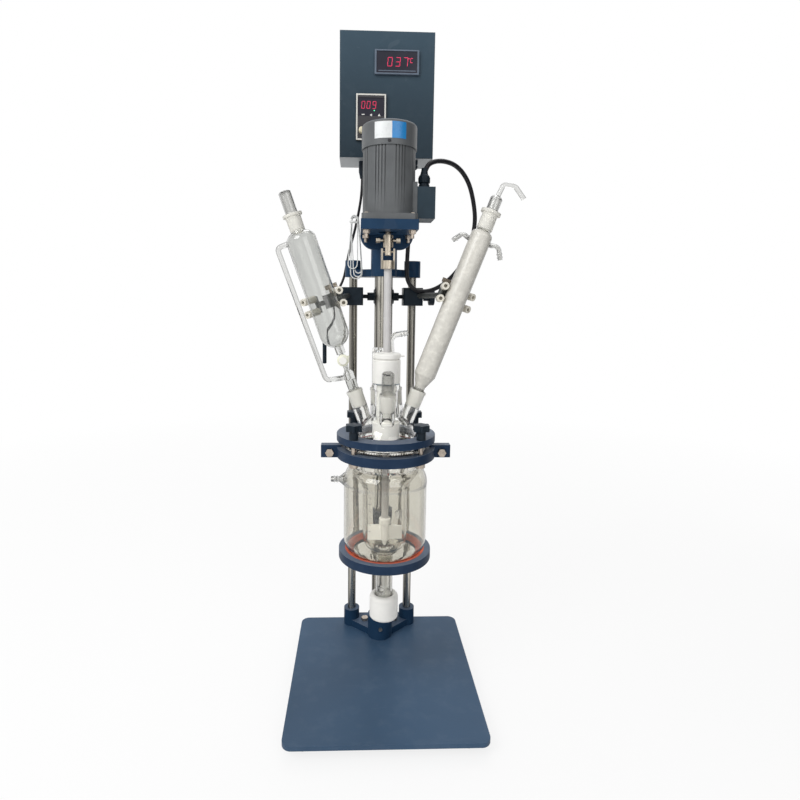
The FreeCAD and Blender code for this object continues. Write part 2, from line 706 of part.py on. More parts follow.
LEFT = ((-lid.sideRimX, 0, lid.sideRimUp), tilted(0, -lid.leftTilt.number))
RIGHT = ((lid.sideRimX, 0, lid.sideRimUp), tilted(0, lid.rightTilt.number))
FRONT = ((0, -lid.frontRimY, lid.rimUp), tilted(lid.frontTilt.number, 0))
WELL = ((lid.wellNeckX, lid.wellNeckY, lid.rimUp), tilted(-lid.wellTilt.number, 0))
ELBOW = ((lid.elbowNeckX, lid.elbowNeckY, lid.rimUp), tilted(0, -lid.elbowTilt.number))
NECKS = (LEFT, RIGHT, FRONT, WELL, ELBOW)


def neck_outside(place):
    """A ground-joint socket that rises from the dome; its rim is the local origin."""
    outer = lid.jointOuter / 2
    rim = lid.jointRim / 2
    return turned([(0, -lid.neckLength), (outer - 0.6, -lid.neckLength), (outer, -40),
                   (rim - 1, -6), (rim, -5), (rim, -1), (rim - 1, 0), (0, 0)], *place)


def neck_bore(place):
    return turned([(0, -lid.neckLength - 1), (jointLow - 1.2, -lid.neckLength - 1),
                   (jointLow - 1.2, -lid.jointDepth - 3), (jointLow, -lid.jointDepth - 2),
                   (jointRadius + 0.1, 0), (jointRadius + 0.1, 1), (0, 1)], *place)


def lid_outside():
    neck = lid.neckOuter / 2
    rim = lid.neckFlange / 2
    return turned([(0, lidFlangeLow), (flangeRadius, lidFlangeLow), (flangeRadius, lidFlangeTop),
                   (57, lidFlangeTop, lid.domeRadius), (neck, dome_at(neck, lid.domeRadius)),
                   (neck, lid.neckFlangeLow - 3), (rim, lid.neckFlangeLow),
                   (rim, lid.neckFlangeTop), (0, lid.neckFlangeTop)])


def lid_inside():
    sphere = lid.domeRadius - lid.domeWall
    neck = lid.neckBore / 2
    foot = root(sphere * sphere - (lidFlangeLow - domeCentre) * (lidFlangeLow - domeCentre))
    return turned([(0, lidFlangeLow - 1), (foot, lidFlangeLow - 1), (foot, lidFlangeLow, sphere),
                   (neck, dome_at(neck, sphere)), (neck, lid.neckFlangeTop + 1),
                   (0, lid.neckFlangeTop + 1)])


node("glass_lid", cut(fused(lid_outside(), *[neck_outside(place) for place in NECKS]),
                      lid_inside(), *[neck_bore(place) for place in NECKS]))


def hollow_stopper(place, seat, top, tube):
    """A blown stopper: a ground cone below and a wide tube closed by a flat top."""
    radius = tube / 2
    wall = 1.6
    return turned([
        (jointLow - wall, seat - lid.jointDepth), (jointLow, seat - lid.jointDepth),
        (jointRadius, seat), (radius, seat + 3), (radius, top - 2), (radius - 2, top), (0, top),
        (0, top - wall), (radius - wall, top - 2.5), (radius - wall, seat + 3),
        (jointRadius - wall, seat - 1)], *place)


stopperLift = funnel.stopperTop - funnel.socketTop
frontStopper = hollow_stopper(FRONT, as_size(0), stopperLift, funnel.stopperTube)
funnelStopper = hollow_stopper(LEFT, funnel.socketTop, funnel.stopperTop, funnel.stopperTube)
node("hollow_stoppers", together(frontStopper, funnelStopper))

wellRadius = 4.5
wellTip = 318 - lid.rimUp
node("thermowell", turned([
    (0, wellTip), (wellRadius - 2, wellTip, 2), (wellRadius, wellTip + 2),
    (wellRadius, -lid.jointDepth - 8), (jointLow - 1, -lid.jointDepth), (jointLow, -lid.jointDepth),
    (jointRadius, 0), (11, 5), (11, 66, 5), (6, 71), (3, 71), (3, 66), (8.6, 62), (8.6, 8),
    (3, -lid.jointDepth - 8), (3, wellTip + 3), (0, wellTip + 3)], *WELL))

hoseRadius = cond.hoseDiameter / 2
elbowRoute = [(0, 0, -lid.jointDepth.number + 4), (0, 0, 93), (31, 0, 95.5)]
elbowSolid = fused(
    turned([(0, -lid.jointDepth), (jointLow, -lid.jointDepth), (jointRadius, 0), (jointRadius - 2, 8),
            (5, 14), (0, 14)], local=True),
    bent_tube(elbowRoute, [13], as_size(10)),
    *[cone(4.4, 5.6, 4, (x, 0, 93 + x * 0.08), ALONG_X, local=True) for x in (16, 21, 26)])
elbow = cut(elbowSolid, bent_tube([(0, 0, -lid.jointDepth.number - 1), (0, 0, 93), (32, 0, 95.6)],
                                  [13], as_size(6)))
node("elbow_adaptor", put(elbow, *ELBOW))


# ---------------------------------------------------------------- stirrer, seal and coupling

shaftRadius = stir.shaftDiameter / 2
housingRadius = seal.housingDiameter / 2
boreRadius = shaftRadius + fit.runningGap
housingLow = lid.neckFlangeTop + seal.ringThick
plugRadius = lid.neckBore / 2 - fit.looseGap
node("seal_housing", turned([
    (boreRadius, seal.nutTop + 2), (plugRadius - 4, seal.nutTop + 2),
    (plugRadius, seal.nutTop + 8), (plugRadius, housingLow),
    (housingRadius - 0.8, housingLow), (housingRadius, housingLow + 0.8),
    (housingRadius, seal.housingTop - 1), (housingRadius - 1, seal.housingTop),
    (boreRadius, seal.housingTop)]))
node("seal_nut", turned([
    (boreRadius, seal.nutLow), (seal.nutDiameter / 2 - 1, seal.nutLow),
    (seal.nutDiameter / 2, seal.nutLow + 1), (seal.nutDiameter / 2, seal.nutTop - 1),
    (seal.nutDiameter / 2 - 1, seal.nutTop), (plugRadius - 4.2, seal.nutTop),
    (plugRadius - 4.2, seal.nutTop + 2), (boreRadius, seal.nutTop + 2)]))
node("seal_cap", turned([
    (boreRadius, seal.housingTop), (housingRadius - 2.5, seal.housingTop),
    (housingRadius - 2.5, seal.capLow), (housingRadius - 1, seal.capLow),
    (housingRadius, seal.capLow + 1), (housingRadius, seal.capTop - 2),
    (housingRadius - 2, seal.capTop), (12, seal.capTop), (11, seal.capTop + 1.5),
    (boreRadius, seal.capTop + 1.5)]))

lidSeal = torus(55.8, glass.sealThick * 2.2, (0, 0, clampTop + glass.flangeThick
                                              + glass.sealThick / 2))
lidSealBand = common(lidSeal, cylinder(60, glass.sealThick, (0, 0, flangeTop)))
housingSeal = cut(cylinder(housingRadius - 1.5, seal.ringThick, (0, 0, lid.neckFlangeTop)),
                  cylinder(plugRadius + fit.looseGap, seal.ringThick + 2,
                           (0, 0, lid.neckFlangeTop - 1)))
node("seals", together(vesselGasket, lidSealBand, housingSeal))

node("stirrer_shaft", cylinder(shaftRadius, stir.shaftTop - stir.hubTop + 12,
                               (0, 0, stir.hubTop - 12)))


def paddle_blade(side):
    """One blade, pitched about the line that it points along."""
    turn = Rotation(Vector(1, 0, 0), stir.paddlePitch.number * side)
    length = stir.paddleWidth / 2
    made = bind(doc.addObject("Part::Box", fresh("Blade")), Length=length,
                Width=stir.paddleThick, Height=stir.paddleTall)
    put(made, (0, 0, 0), UPRIGHT)
    for letter in "xyz":
        made.setExpression(f"Placement.Base.{letter}", None)
    middle = Vector(frame.axisX.number, frame.axisY.number,
                    (deck + stir.paddleLow + stir.paddleTall / 2).number)
    corner = Vector(0 if side > 0 else -length.number, -stir.paddleThick.number / 2,
                    -stir.paddleTall.number / 2)
    made.Placement = Placement(middle + turn.multVec(corner), turn)
    return made


hubRadius = stir.hubDiameter / 2
paddleHub = turned([
    (0, stir.tipLow), (1.5, stir.tipLow), (4.5, stir.paddleLow - 3), (hubRadius - 3, stir.paddleLow),
    (hubRadius - 3, stir.hubTop - 12), (hubRadius, stir.hubTop - 11),
    (hubRadius, stir.hubTop - 2), (hubRadius - 2, stir.hubTop), (0, stir.hubTop)])
node("paddle", cut(fused(paddleHub, paddle_blade(-1), paddle_blade(1)),
                   cylinder(shaftRadius, 13, (0, 0, stir.hubTop - 12))))

yokeRadius = stir.yokeDiameter / 2
armLift = stir.yokeWide / 2
lowHubTop = stir.couplingLow + 13.5
lowYoke = cylinder(yokeRadius, stir.crossUp + armLift - stir.couplingLow, (0, 0, stir.couplingLow))
slot = block(2 * (yokeRadius - stir.yokeArm), 60, 40, (0, 0, lowHubTop))
sides = [block(60, 30, 40, (0, (15 + stir.yokeWide / 2) * s, lowHubTop)) for s in (-1, 1)]
pinRadius = stir.pinDiameter / 2
node("coupling_lower", cut(
    lowYoke, slot, *sides,
    cylinder(shaftRadius, stir.shaftTop - stir.couplingLow + 1, (0, 0, stir.couplingLow - 1)),
    cylinder(pinRadius, 60, (-30, 0, stir.crossUp), ALONG_X)))

upYokeLow = stir.crossUp - armLift - 1
upHubLow = stir.crossUp + armLift + 2
upHub = cylinder(stir.hubOuter / 2, stir.couplingTop - upHubLow, (0, 0, upHubLow))
upYoke = common(cylinder(stir.hubOuter / 2, upHubLow - upYokeLow, (0, 0, upYokeLow)),
                block(stir.yokeWide, 30, 40, (0, 0, upYokeLow)))
gap = block(30, stir.hubOuter - 2 * stir.yokeArm, upHubLow - upYokeLow + 1, (0, 0, upYokeLow - 1))
coupling = cut(fused(upHub, upYoke), gap,
               cylinder(stir.motorShaftDiameter / 2, 30, (0, 0, upHubLow + 2)),
               cylinder(pinRadius, 60, (0, -30, stir.crossUp), ALONG_Y),
               cylinder(2.5, 60, (-30, 0, stir.setBoltUp), ALONG_X))
setBolts = []
for side in (-1, 1):
    inner = stir.motorShaftDiameter / 2
    headNear = stir.setBoltReach - 7
    start = inner if side > 0 else -stir.setBoltReach
    shankStart = inner if side > 0 else -headNear
    setBolts.append(fused(
        cylinder(2.5, headNear - inner, (shankStart, 0, stir.setBoltUp), ALONG_X),
        hexagon(8, 7, (headNear if side > 0 else -stir.setBoltReach, 0, stir.setBoltUp), ALONG_X)))
node("coupling_upper", together(coupling, *setBolts))

crossHalf = stir.hubOuter / 2 - stir.yokeArm - fit.looseGap
node("coupling_cross", fused(
    block(2 * crossHalf, 2 * crossHalf, 2 * pinRadius + 4, (0, 0, stir.crossUp - pinRadius - 2)),
    cylinder(pinRadius - fit.runningGap, 2 * yokeRadius, (-yokeRadius, 0, stir.crossUp), ALONG_X),
    cylinder(pinRadius - fit.runningGap, stir.hubOuter, (0, -stir.hubOuter / 2, stir.crossUp),
             ALONG_Y)))
node("motor_shaft", cylinder(stir.motorShaftDiameter / 2, motor.seatUp + 8 - upHubLow - 2,
                             (0, 0, upHubLow + 2)))


# ---------------------------------------------------------------- motor and its bracket

mountTop = motor.seatUp + motor.mountThick
bracketLow = motor.seatUp - motor.bracketThick
apronHalf = motor.bracketWidth / 2
apronArc = apronHalf - motor.apronCorner
apron = padded([(apronHalf, bracketLow), (apronHalf, motor.seatUp), (-apronHalf, motor.seatUp),
                (-apronHalf, bracketLow), (-apronArc, motor.apronLow), (apronArc, motor.apronLow)],
               motor.apronThick, (0, 0, 0), UPRIGHT, local=True)
put(apron, (0, motor.apronY + motor.apronThick, 0), Rotation(Vector(1, 0, 0), 90))
bracketSleeve = cylinder(ring.armWidth / 2 + 1, 42, (*postSpot, motor.apronLow + 10))
bracketArm = block(60, rail.postY - 50, motor.bracketThick, (0, (rail.postY + 50) / 2, bracketLow))
bracketPlate = block(motor.bracketWidth, motor.bracketFront * 2, motor.bracketThick,
                     (0, 0, bracketLow))
motorBolts = [(motor.boltCircleX * x, motor.boltCircleX * y) for x in (-1, 1) for y in (-1, 1)]
node("motor_bracket", cut(
    fused(bracketPlate, apron, bracketArm, bracketSleeve),
    cylinder(15, 40, (0, 0, bracketLow - 5)),
    cylinder(rail.postDiameter / 2, 60, (*postSpot, motor.apronLow)),
    *[cylinder(motor.boltDiameter / 2, 40, (x, y, bracketLow - 10)) for x, y in motorBolts]))

coverLowUp = motor.bodyTop
bodyRadius = motor.bodyDiameter / 2
mount = rounded_plate(motor.mountWidth, motor.mountWidth, motor.mountCorner, motor.mountThick,
                      (0, 0, motor.seatUp))
barrel = cylinder(bodyRadius, motor.bodyTop - mountTop, (0, 0, mountTop))
pad = block(motor.boxNear - 30, 50, motor.boxTop - motor.boxLow - 0.5,
            ((motor.boxNear + 30) / 2, 4, motor.boxLow + 8))
grooves = []
for number in range(24):
    angle = 360 / 24 * number + 7.5
    if min(angle, 360 - angle) < 40:
        continue
    turn = Rotation(Vector(0, 0, 1), angle)
    groove = block(motor.grooveDeep * 2, motor.grooveWidth, motor.bodyTop - mountTop + 2,
                   (bodyRadius, 0, 0), UPRIGHT, local=True)
    spin = together(groove)
    put(spin, (0, 0, mountTop - 1), turn)
    grooves.append(spin)
shaftHole = cylinder(stir.motorShaftDiameter / 2 + fit.runningGap, 30, (0, 0, motor.seatUp - 10))
motorCasting = cut(fused(mount, barrel, pad), shaftHole, *grooves,
                       *[cylinder(motor.boltDiameter / 2, 30, (x, y, motor.seatUp - 5))
                         for x, y in motorBolts])

coverRadius = motor.coverDiameter / 2
node("fan_cover", cut(turned([
    (0, coverLowUp), (coverRadius, coverLowUp), (coverRadius, motor.coverTop - 5, 5),
    (coverRadius - 5, motor.coverTop), (0, motor.coverTop)]),
    cylinder(coverRadius - motor.coverWall, motor.coverTop - coverLowUp - motor.coverWall + 1,
             (0, 0, coverLowUp - 1)),
    *[cylinder(2.2, 10, (r * math.cos(math.radians(a)), r * math.sin(math.radians(a)),
                         motor.coverTop - 6))
      for r, count in ((10, 6), (20, 12), (30, 18)) for a in range(0, 360, 360 // count)]))

boxMiddle = (motor.boxNear + motor.boxFar) / 2
terminalBox = block(motor.boxFar - motor.boxNear, motor.boxRear + motor.boxFront,
                    motor.boxTop - motor.boxLow,
                    (boxMiddle, (motor.boxRear - motor.boxFront) / 2, motor.boxLow))
node("motor_body", together(motorCasting, terminalBox))


def cable_gland(x, y, low, top, upward=True):
    """A hexagon base with a domed nut, bored for a lead."""
    radius = motor.glandDiameter / 2
    tall = as_size(top) - as_size(low)
    outline = [(motor.leadDiameter / 2, 0), (radius - 1, 0), (radius - 1, 7), (radius - 2, 8),
               (radius - 2, 9), (radius - 0.6, 10), (radius - 0.6, tall - 5, 5),
               (radius - 4.5, tall), (motor.leadDiameter / 2, tall)]
    turn = UPRIGHT if upward else Rotation(Vector(1, 0, 0), 180)
    return turned(outline, (x, y, low if upward else top), turn)


terminalGland = cable_gland(motor.glandX, motor.glandY, motor.boxTop, motor.glandTop)


# ---------------------------------------------------------------- the control box

caseHalf = case.caseWidth / 2
caseTop = case.caseLow + case.caseTall
caseY = case.caseFront + case.caseDepth / 2
panelRear = case.caseFront + case.caseWall
panelHoles = [block(case.meterWidth - 8, 40, case.meterTall - 6,
                    (case.meterX, case.caseFront, case.meterUp - (case.meterTall - 6) / 2)),
              block(case.speedWidth - 8, 40, case.speedTall - 8,
                    (case.speedX, case.caseFront, case.speedUp - (case.speedTall - 8) / 2))]
caseWall2 = case.caseWall * 2
boxSpan = [(-30, 30), (30, 30), (-30, -30), (30, -30)]
boxBolts = [(x, caseY + y * 0.6) for x, y in boxSpan]
node("box_shell", cut(
    block(case.caseWidth, case.caseDepth - case.caseWall, case.caseTall,
          (0, caseY + case.caseWall / 2, case.caseLow)),
    block(case.caseWidth - caseWall2, case.caseDepth - caseWall2, case.caseTall - caseWall2,
          (0, caseY - case.caseWall / 2, case.caseLow + case.caseWall)),
    *[cylinder(2.5, 12, (x, y, case.caseLow - 5)) for x, y in boxBolts]))
node("front_panel", cut(
    block(case.caseWidth - 1, case.caseWall, case.caseTall - 1,
          (0, case.caseFront + case.caseWall / 2, case.caseLow + 0.5)), *panelHoles))


def instrument(width, tall, x, up, depth, window):
    """A panel instrument: a bezel with a sunk window in front of a narrower body."""
    bezel = block(width, case.bezelThick, tall, (x, case.caseFront - case.bezelThick / 2,
                                                 up - tall / 2))
    rear = block(width - 10, depth, tall - 8, (x, case.caseFront + depth / 2, up - (tall - 8) / 2))
    left, right, low, top = window
    sunk = block(right - left, 2.4, top - low, (x + (left + right) / 2,
                                                case.caseFront - case.bezelThick, up + low))
    return fused(cut(bezel, sunk), rear)


node("temperature_meter", instrument(case.meterWidth, case.meterTall, case.meterX, case.meterUp,
                                     case.meterDepth, (-36, 36, -18, 18)))
dialSpot = (case.dialX, case.caseFront - case.bezelThick, case.dialUp)
spindle = cylinder(3, case.dialThick - 3, (case.dialX, case.caseFront - case.bezelThick
                                          - case.dialThick + 3, case.dialUp), ALONG_Y)
node("speed_controller", fused(instrument(case.speedWidth, case.speedTall, case.speedX,
                                          case.speedUp, case.speedDepth, (-23, 23, 2, 33)),
                               spindle))
node("speed_dial", turned([
    (3 + fit.runningGap, fit.looseGap), (case.dialDiameter / 2, fit.looseGap),
    (case.dialDiameter / 2 - 0.6, case.dialThick - 1),
    (case.dialDiameter / 2 - 1.6, case.dialThick), (0, case.dialThick),
    (0, case.dialThick - 3 + fit.runningGap * 2), (3 + fit.runningGap,
                                                   case.dialThick - 3 + fit.runningGap * 2)],
    dialSpot, Rotation(Vector(1, 0, 0), 90)))

bracketBoss = cylinder(ring.armWidth / 2, 26, (*postSpot, rail.postTop - 25))
bracketSeat = block(72, case.bracketWide, case.caseLow - rail.postTop - 1,
                    (0, rail.postY, rail.postTop + 1))
node("box_bracket", cut(fused(bracketBoss, bracketSeat),
                        cylinder(rail.postDiameter / 2, 40, (*postSpot, rail.postTop - 40)),
                        *[cylinder(2.5, 30, (x, y, rail.postTop)) for x, y in boxBolts]))
boxGland = cable_gland(50, 118, case.caseLow - 16, case.caseLow, upward=False)


# ---------------------------------------------------------------- dropping funnel and condenser

bulb = funnel.bulbDiameter / 2
socketRadius = funnel.socketOuter / 2
wall = funnel.bulbWall


def funnel_outside():
    return turned([
        (0, -lid.jointDepth), (jointLow, -lid.jointDepth), (jointRadius, 0), (jointRadius - 3, 2),
        (jointRadius - 3, 31), (4.6, 37), (4.6, funnel.stopcockUp + 9), (8, funnel.stopcockUp + 11),
        (8, funnel.bulbLow - 24.5, 26), (bulb, funnel.bulbLow), (bulb, funnel.bulbHigh, 16),
        (socketRadius + 0.5, funnel.bulbHigh + 15.3),
        (socketRadius - 1, funnel.socketLow), (socketRadius - 0.5, funnel.socketTop - 5),
        (funnel.socketRim / 2, funnel.socketTop - 4), (funnel.socketRim / 2, funnel.socketTop),
        (0, funnel.socketTop)], local=True)


def funnel_inside():
    return turned([
        (0, funnel.bulbLow - 24.19, 24.2), (bulb - wall, funnel.bulbLow),
        (bulb - wall, funnel.bulbHigh, 14.2), (jointLow, funnel.bulbHigh + 14.1),
        (jointLow, funnel.socketTop - lid.jointDepth - 1),
        (jointRadius + 0.1, funnel.socketTop), (jointRadius + 0.1, funnel.socketTop + 1),
        (0, funnel.socketTop + 1)], local=True)


armRoute = [(-21, 0, 267), (-42, 0, 266), (-39.5, 0, 31), (-5, 0, 25)]
sideArm = bent_tube(armRoute, [7, 9], funnel.armDiameter)
keyBarrel = put(together(cylinder(funnel.keyRing / 2 - 2.4, 26, (0, 0, 0), local=True)),
                (0, 13, funnel.stopcockUp), Rotation(Vector(1, 0, 0), 90), local=True)
keyHole = put(together(cone(funnel.keyDiameter / 2 + fit.runningGap,
                            funnel.keyDiameter / 2 + fit.runningGap, 30, (0, 0, 0), local=True)),
              (0, 15, funnel.stopcockUp), Rotation(Vector(1, 0, 0), 90), local=True)
funnelGlass = cut(fused(funnel_outside(), sideArm, keyBarrel), funnel_inside(), keyHole,
                  cylinder(2, 62, (0, 0, 20), local=True),
                  cylinder(jointLow - 2.5, lid.jointDepth + 20, (0, 0, -lid.jointDepth - 1),
                           local=True))
node("funnel", put(funnelGlass, *LEFT))


def funnel_piece(shape, s):
    """Lay a piece turned about the stopcock's own axis into the funnel."""
    lean = LEFT[1]
    axis = lean.multVec(Vector(0, 0, 1))
    x, y, z = LEFT[0]
    tilt = lid.leftTilt
    return put(shape, (x - sine(tilt) * s, y, z + cosine(tilt) * s),
               lean.multiply(Rotation(Vector(1, 0, 0), 90)))


keyRadius = funnel.keyDiameter / 2
keyShape = fused(
    turned([(0, -18), (6.5, -18), (6.5, -14), (keyRadius, -14), (keyRadius, 13.3),
            (funnel.keyRing / 2, 13.3), (funnel.keyRing / 2, 17), (6, 18.5), (6, 22), (0, 22)],
           local=True),
    block(34, 4.5, 9, (0, 0, -26), local=True))
keyPassage = cylinder(2, 40, (0, -20, 0), ALONG_Y, local=True)
node("stopcock_key", funnel_piece(cut(keyShape, keyPassage), funnel.stopcockUp))

shell = cond.condenserDiameter / 2
cWall = cond.condenserWall
condTop = cond.condenserSocketTop


def ridge(start, end, share, radius):
    a, b = Vector(*start), Vector(*end)
    made = bind(doc.addObject("Part::Cone", fresh("Ridge")), Radius1=radius + 1.1, Radius2=radius,
                Height=3.4)
    made.Placement = Placement(a + (b - a) * share, Rotation(Vector(0, 0, 1), b - a))
    return made


condenserOutside = turned([
    (0, -lid.jointDepth), (jointLow, -lid.jointDepth), (jointRadius, 0), (jointRadius - 3, 2),
    (jointRadius - 3, cond.condenserLow - 21), (jointRadius + 1, cond.condenserLow - 12),
    (shell - 1.5, cond.condenserLow - 2.5, 8), (shell, cond.condenserLow + 2),
    (shell, cond.condenserHigh - 8, 9),
    (shell - 7, cond.condenserHigh), (socketRadius, cond.condenserHigh + 4),
    (socketRadius - 0.6, condTop - 6), (17, condTop - 5), (17, condTop), (0, condTop)], local=True)
condenserInside = turned([
    (0, condTop + 1), (0, condTop - lid.jointDepth - 3), (jointLow, condTop - lid.jointDepth - 3),
    (jointRadius + 0.1, condTop), (jointRadius + 0.1, condTop + 1)], local=True)
waterSpace = turned([
    (7.5, cond.condenserLow + 4), (shell - cWall - 5, cond.condenserLow + 4),
    (shell - cWall, cond.condenserLow + 9), (shell - cWall, cond.condenserHigh - 10),
    (shell - cWall - 6, cond.condenserHigh - 3), (7.5, cond.condenserHigh - 3)], local=True)
leftHose = [(-12, 0, 268), (-31, 0, 272), (-42, 0, 256)]
rightHose = [(12, 0, 270), (34, 0, 274), (45, 0, 255)]
hoses = [bent_tube(leftHose, [8], cond.hoseDiameter), bent_tube(rightHose, [9], cond.hoseDiameter),
         ridge(leftHose[1], leftHose[2], 0.62, 4), ridge(rightHose[1], rightHose[2], 0.5, 4),
         ridge(rightHose[1], rightHose[2], 0.75, 4)]
hoseBores = [bent_tube([(-10, 0, 267.6), leftHose[1], (-43.1, 0, 254.4)], [8], as_size(4.4)),
             bent_tube([(10, 0, 269.6), rightHose[1], (46.2, 0, 252.9)], [9], as_size(4.4))]
condenserGlass = cut(fused(condenserOutside, *hoses), condenserInside, waterSpace, *hoseBores,
                     cylinder(5.6, 420, (0, 0, -lid.jointDepth - 1), local=True),
                     cylinder(jointLow - 2.5, lid.jointDepth + 20, (0, 0, -lid.jointDepth - 1),
                              local=True))
node("condenser", put(condenserGlass, *RIGHT))

outletSeat = condTop
outletSolid = turned([
    (0, outletSeat - lid.jointDepth), (jointLow, outletSeat - lid.jointDepth),
    (jointRadius, outletSeat), (10.2, outletSeat + 3), (10.2, cond.outletTop - 5, 10),
    (3, cond.outletTop + 1), (0, cond.outletTop + 1)], local=True)
outletRoute = [(0, 0, 345), (2, 0, 371), (22, 0, 375), (43, 0, 362)]
outletTube = bent_tube(outletRoute, [6, 9], as_size(8.3))
outletBore = turned([
    (0, outletSeat - lid.jointDepth - 1), (jointLow - 1.6, outletSeat - lid.jointDepth - 1),
    (jointRadius - 1.8, outletSeat), (8.4, outletSeat + 4), (8.4, cond.outletTop - 6),
    (2.5, cond.outletTop - 1), (0, cond.outletTop - 1)], local=True)
node("condenser_outlet", put(cut(fused(outletSolid, outletTube), outletBore), *RIGHT))


# ---------------------------------------------------------------- clamps for the glassware

def world(x, y, z):
    return Vector(x + frame.axisX.number, y + frame.axisY.number, z + deck.number)


def bar(start, end, radius):
    """A round bar between two stand points."""
    a, b = world(*start), world(*end)
    made = bind(doc.addObject("Part::Cylinder", fresh("Bar")), Radius=radius, Height=(b - a).Length)
    made.Placement = Placement(a, Rotation(Vector(0, 0, 1), b - a))
    return made


def claw_frame(side, tilt, up):
    """Place of a claw: X across the glass, Y back towards the stand, Z along the glass."""
    lean = math.radians(tilt.number)
    centre = (side * (lid.sideRimX + sine(tilt) * up), as_size(0),
              lid.sideRimUp + cosine(tilt) * up)
    turn = tilted(0, side * tilt.number)
    spin = Rotation(Vector(0, 0, 1), side * (claw.armTurn.number + 1.5))
    return centre, turn.multiply(spin)


def claw_parts(side, tilt, up, glass_radius, boss_point):
    """The fixed claw with its arm, the moving jaw and the wing screw."""
    centre, turn = claw_frame(side, tilt, up)
    at = (centre, turn)
    reach = glass_radius + claw.sleeveDiameter / 2 + fit.seatGap
    splay = claw.jawSplay
    spread = claw.prongSpread.number
    pivot_x, pivot_y = claw.jawPivotX, reach + 15.5
    prong_radius = 3

    def along(t, hand):
        """A point of a prong's centre line, t forward of the place nearest the glass."""
        x = reach * cosine(splay) + sine(splay) * t
        y = reach * sine(splay) - cosine(splay) * t
        return x * hand, y

    def prong(hand, z):
        """A prong and its rubber sleeve, which is hollow past the tip of the prong."""
        x, y = along(-17, hand)
        lean = Rotation(Vector(sine(splay).number * hand, -cosine(splay).number, 0),
                        Vector(0, 0, 1)).inverted()
        steel = cylinder(prong_radius, 26, (0, 0, -6), local=True)
        rubber = cut(cylinder(claw.sleeveDiameter / 2, claw.sleeveLength, local=True),
                     cylinder(prong_radius, claw.sleeveLength, (0, 0, 20), local=True))
        return put(fused(steel, rubber), (x, y, z), lean, local=True)

    def link(hand, low, tall):
        """The lever between the pivot and the roots of the prongs."""
        x, y = along(-21, hand)
        corners = [(hand * pivot_x - 3.6 * hand, pivot_y - 2.5), (x - 3.6 * hand, y - 2.5),
                   (x + 3.6 * hand, y + 2.5), (hand * pivot_x + 3.6 * hand, pivot_y + 2.5)]
        return padded(corners[::hand], tall, (0, 0, low), local=True)

    def crossbar(hand):
        x, y = along(-21, hand)
        return cylinder(4.5, 2 * spread + 8, (x, y, -spread - 4), local=True)

    slot_half = 4.5
    moving = side
    lever = link(moving, -slot_half + 0.3, 2 * slot_half - 0.6)
    barrel = cylinder(4.6, 2 * slot_half - 0.6, (moving * pivot_x, pivot_y, -slot_half + 0.3),
                      local=True)
    pin_bore = cylinder(2 + fit.runningGap, 30, (moving * pivot_x, pivot_y, -15), local=True)
    jaw = cut(fused(lever, barrel, crossbar(moving), prong(moving, spread), prong(moving, -spread)),
              pin_bore)
    put(jaw, *at)

    body = block(25, 18, 24, (0, pivot_y + 2, -12), local=True)
    pocket = block(16, 14, 2 * slot_half, (moving * 10.4, pivot_y - 1.4, -slot_half), local=True)
    screw_hole = cylinder(2.5 + fit.runningGap, 10, (-moving * 6, pivot_y + 4, 4), local=True)
    pin = cylinder(2, 24, (moving * pivot_x, pivot_y, -12), local=True)
    fixed = fused(cut(body, pocket, screw_hole), pin, link(-moving, -slot_half, 2 * slot_half),
                  crossbar(-moving), prong(-moving, spread), prong(-moving, -spread))
    put(fixed, *at)
    wing_low = 12.3
    wing = fused(cylinder(2.5, 16, (0, 0, -3.7), local=True),
                 cylinder(4.2, 8, (0, 0, wing_low - 8.3 + 0.3), local=True),
                 block(21, 2.6, 8, (0, 0, wing_low - 1), local=True))
    screw = put(wing, (-moving * 6, pivot_y + 4, 8), local=True)
    screw = put(together(screw), *at)

    near = turn.multVec(Vector(0, (pivot_y + 8).number, 0))
    start = (centre[0].number + near.x, near.y, centre[2].number + near.z)
    heading = Vector(*boss_point) - Vector(*start)
    end = Vector(*boss_point) + heading.normalize() * 16
    return fixed, jaw, screw, start, tuple(end)


bossMiddle = claw.blockLow + claw.blockTall / 2
leftEntry = (-70, 150, 699)
rightEntry = (71.5, 150, 700)
claws = {}
for name, side, tilt, up, glass_radius, entry in (
        ("funnel", -1, lid.leftTilt, claw.funnelClawUp, bulb, leftEntry),
        ("condenser", 1, lid.rightTilt, claw.condenserClawUp, shell, rightEntry)):
    fixed, jaw, screw, start, end = claw_parts(side, tilt, up, glass_radius, entry)
    arm = bar(start, end, claw.clawArmDiameter / 2)
    node(f"{name}_claw", fused(fixed, arm))
    node(f"{name}_claw_jaw", jaw)
    node(f"{name}_wing_screw", screw)
    claws[name] = (start, end)

screwRadius = 4
innerReach, outerLeft, outerRight = 19.6, 24.6, 19


def boss_head(side, outer, name, second_hole):
    """A block bored upright for the rail and across for the arm of a claw."""
    middle = side * (rail.railX.number + (outer - innerReach) / 2)
    body = rounded_plate(innerReach + outer, claw.blockDepth, as_size(5), claw.blockTall,
                         (middle, 175.5, claw.blockLow))
    start, end = claws[name]
    first_hole = cylinder(screwRadius + fit.runningGap, innerReach - rail.railDiameter / 2 + 6,
                          ((side * (rail.railX - innerReach - 2)) if side > 0 else
                           (-rail.railX + rail.railDiameter / 2 - 4), rail.railY, bossMiddle),
                          ALONG_X)
    return cut(body, cylinder(rail.railDiameter / 2, claw.blockTall + 2,
                              (side * rail.railX, rail.railY, claw.blockLow - 1)),
               bar(start, end, claw.clawArmDiameter / 2), first_hole, second_hole)


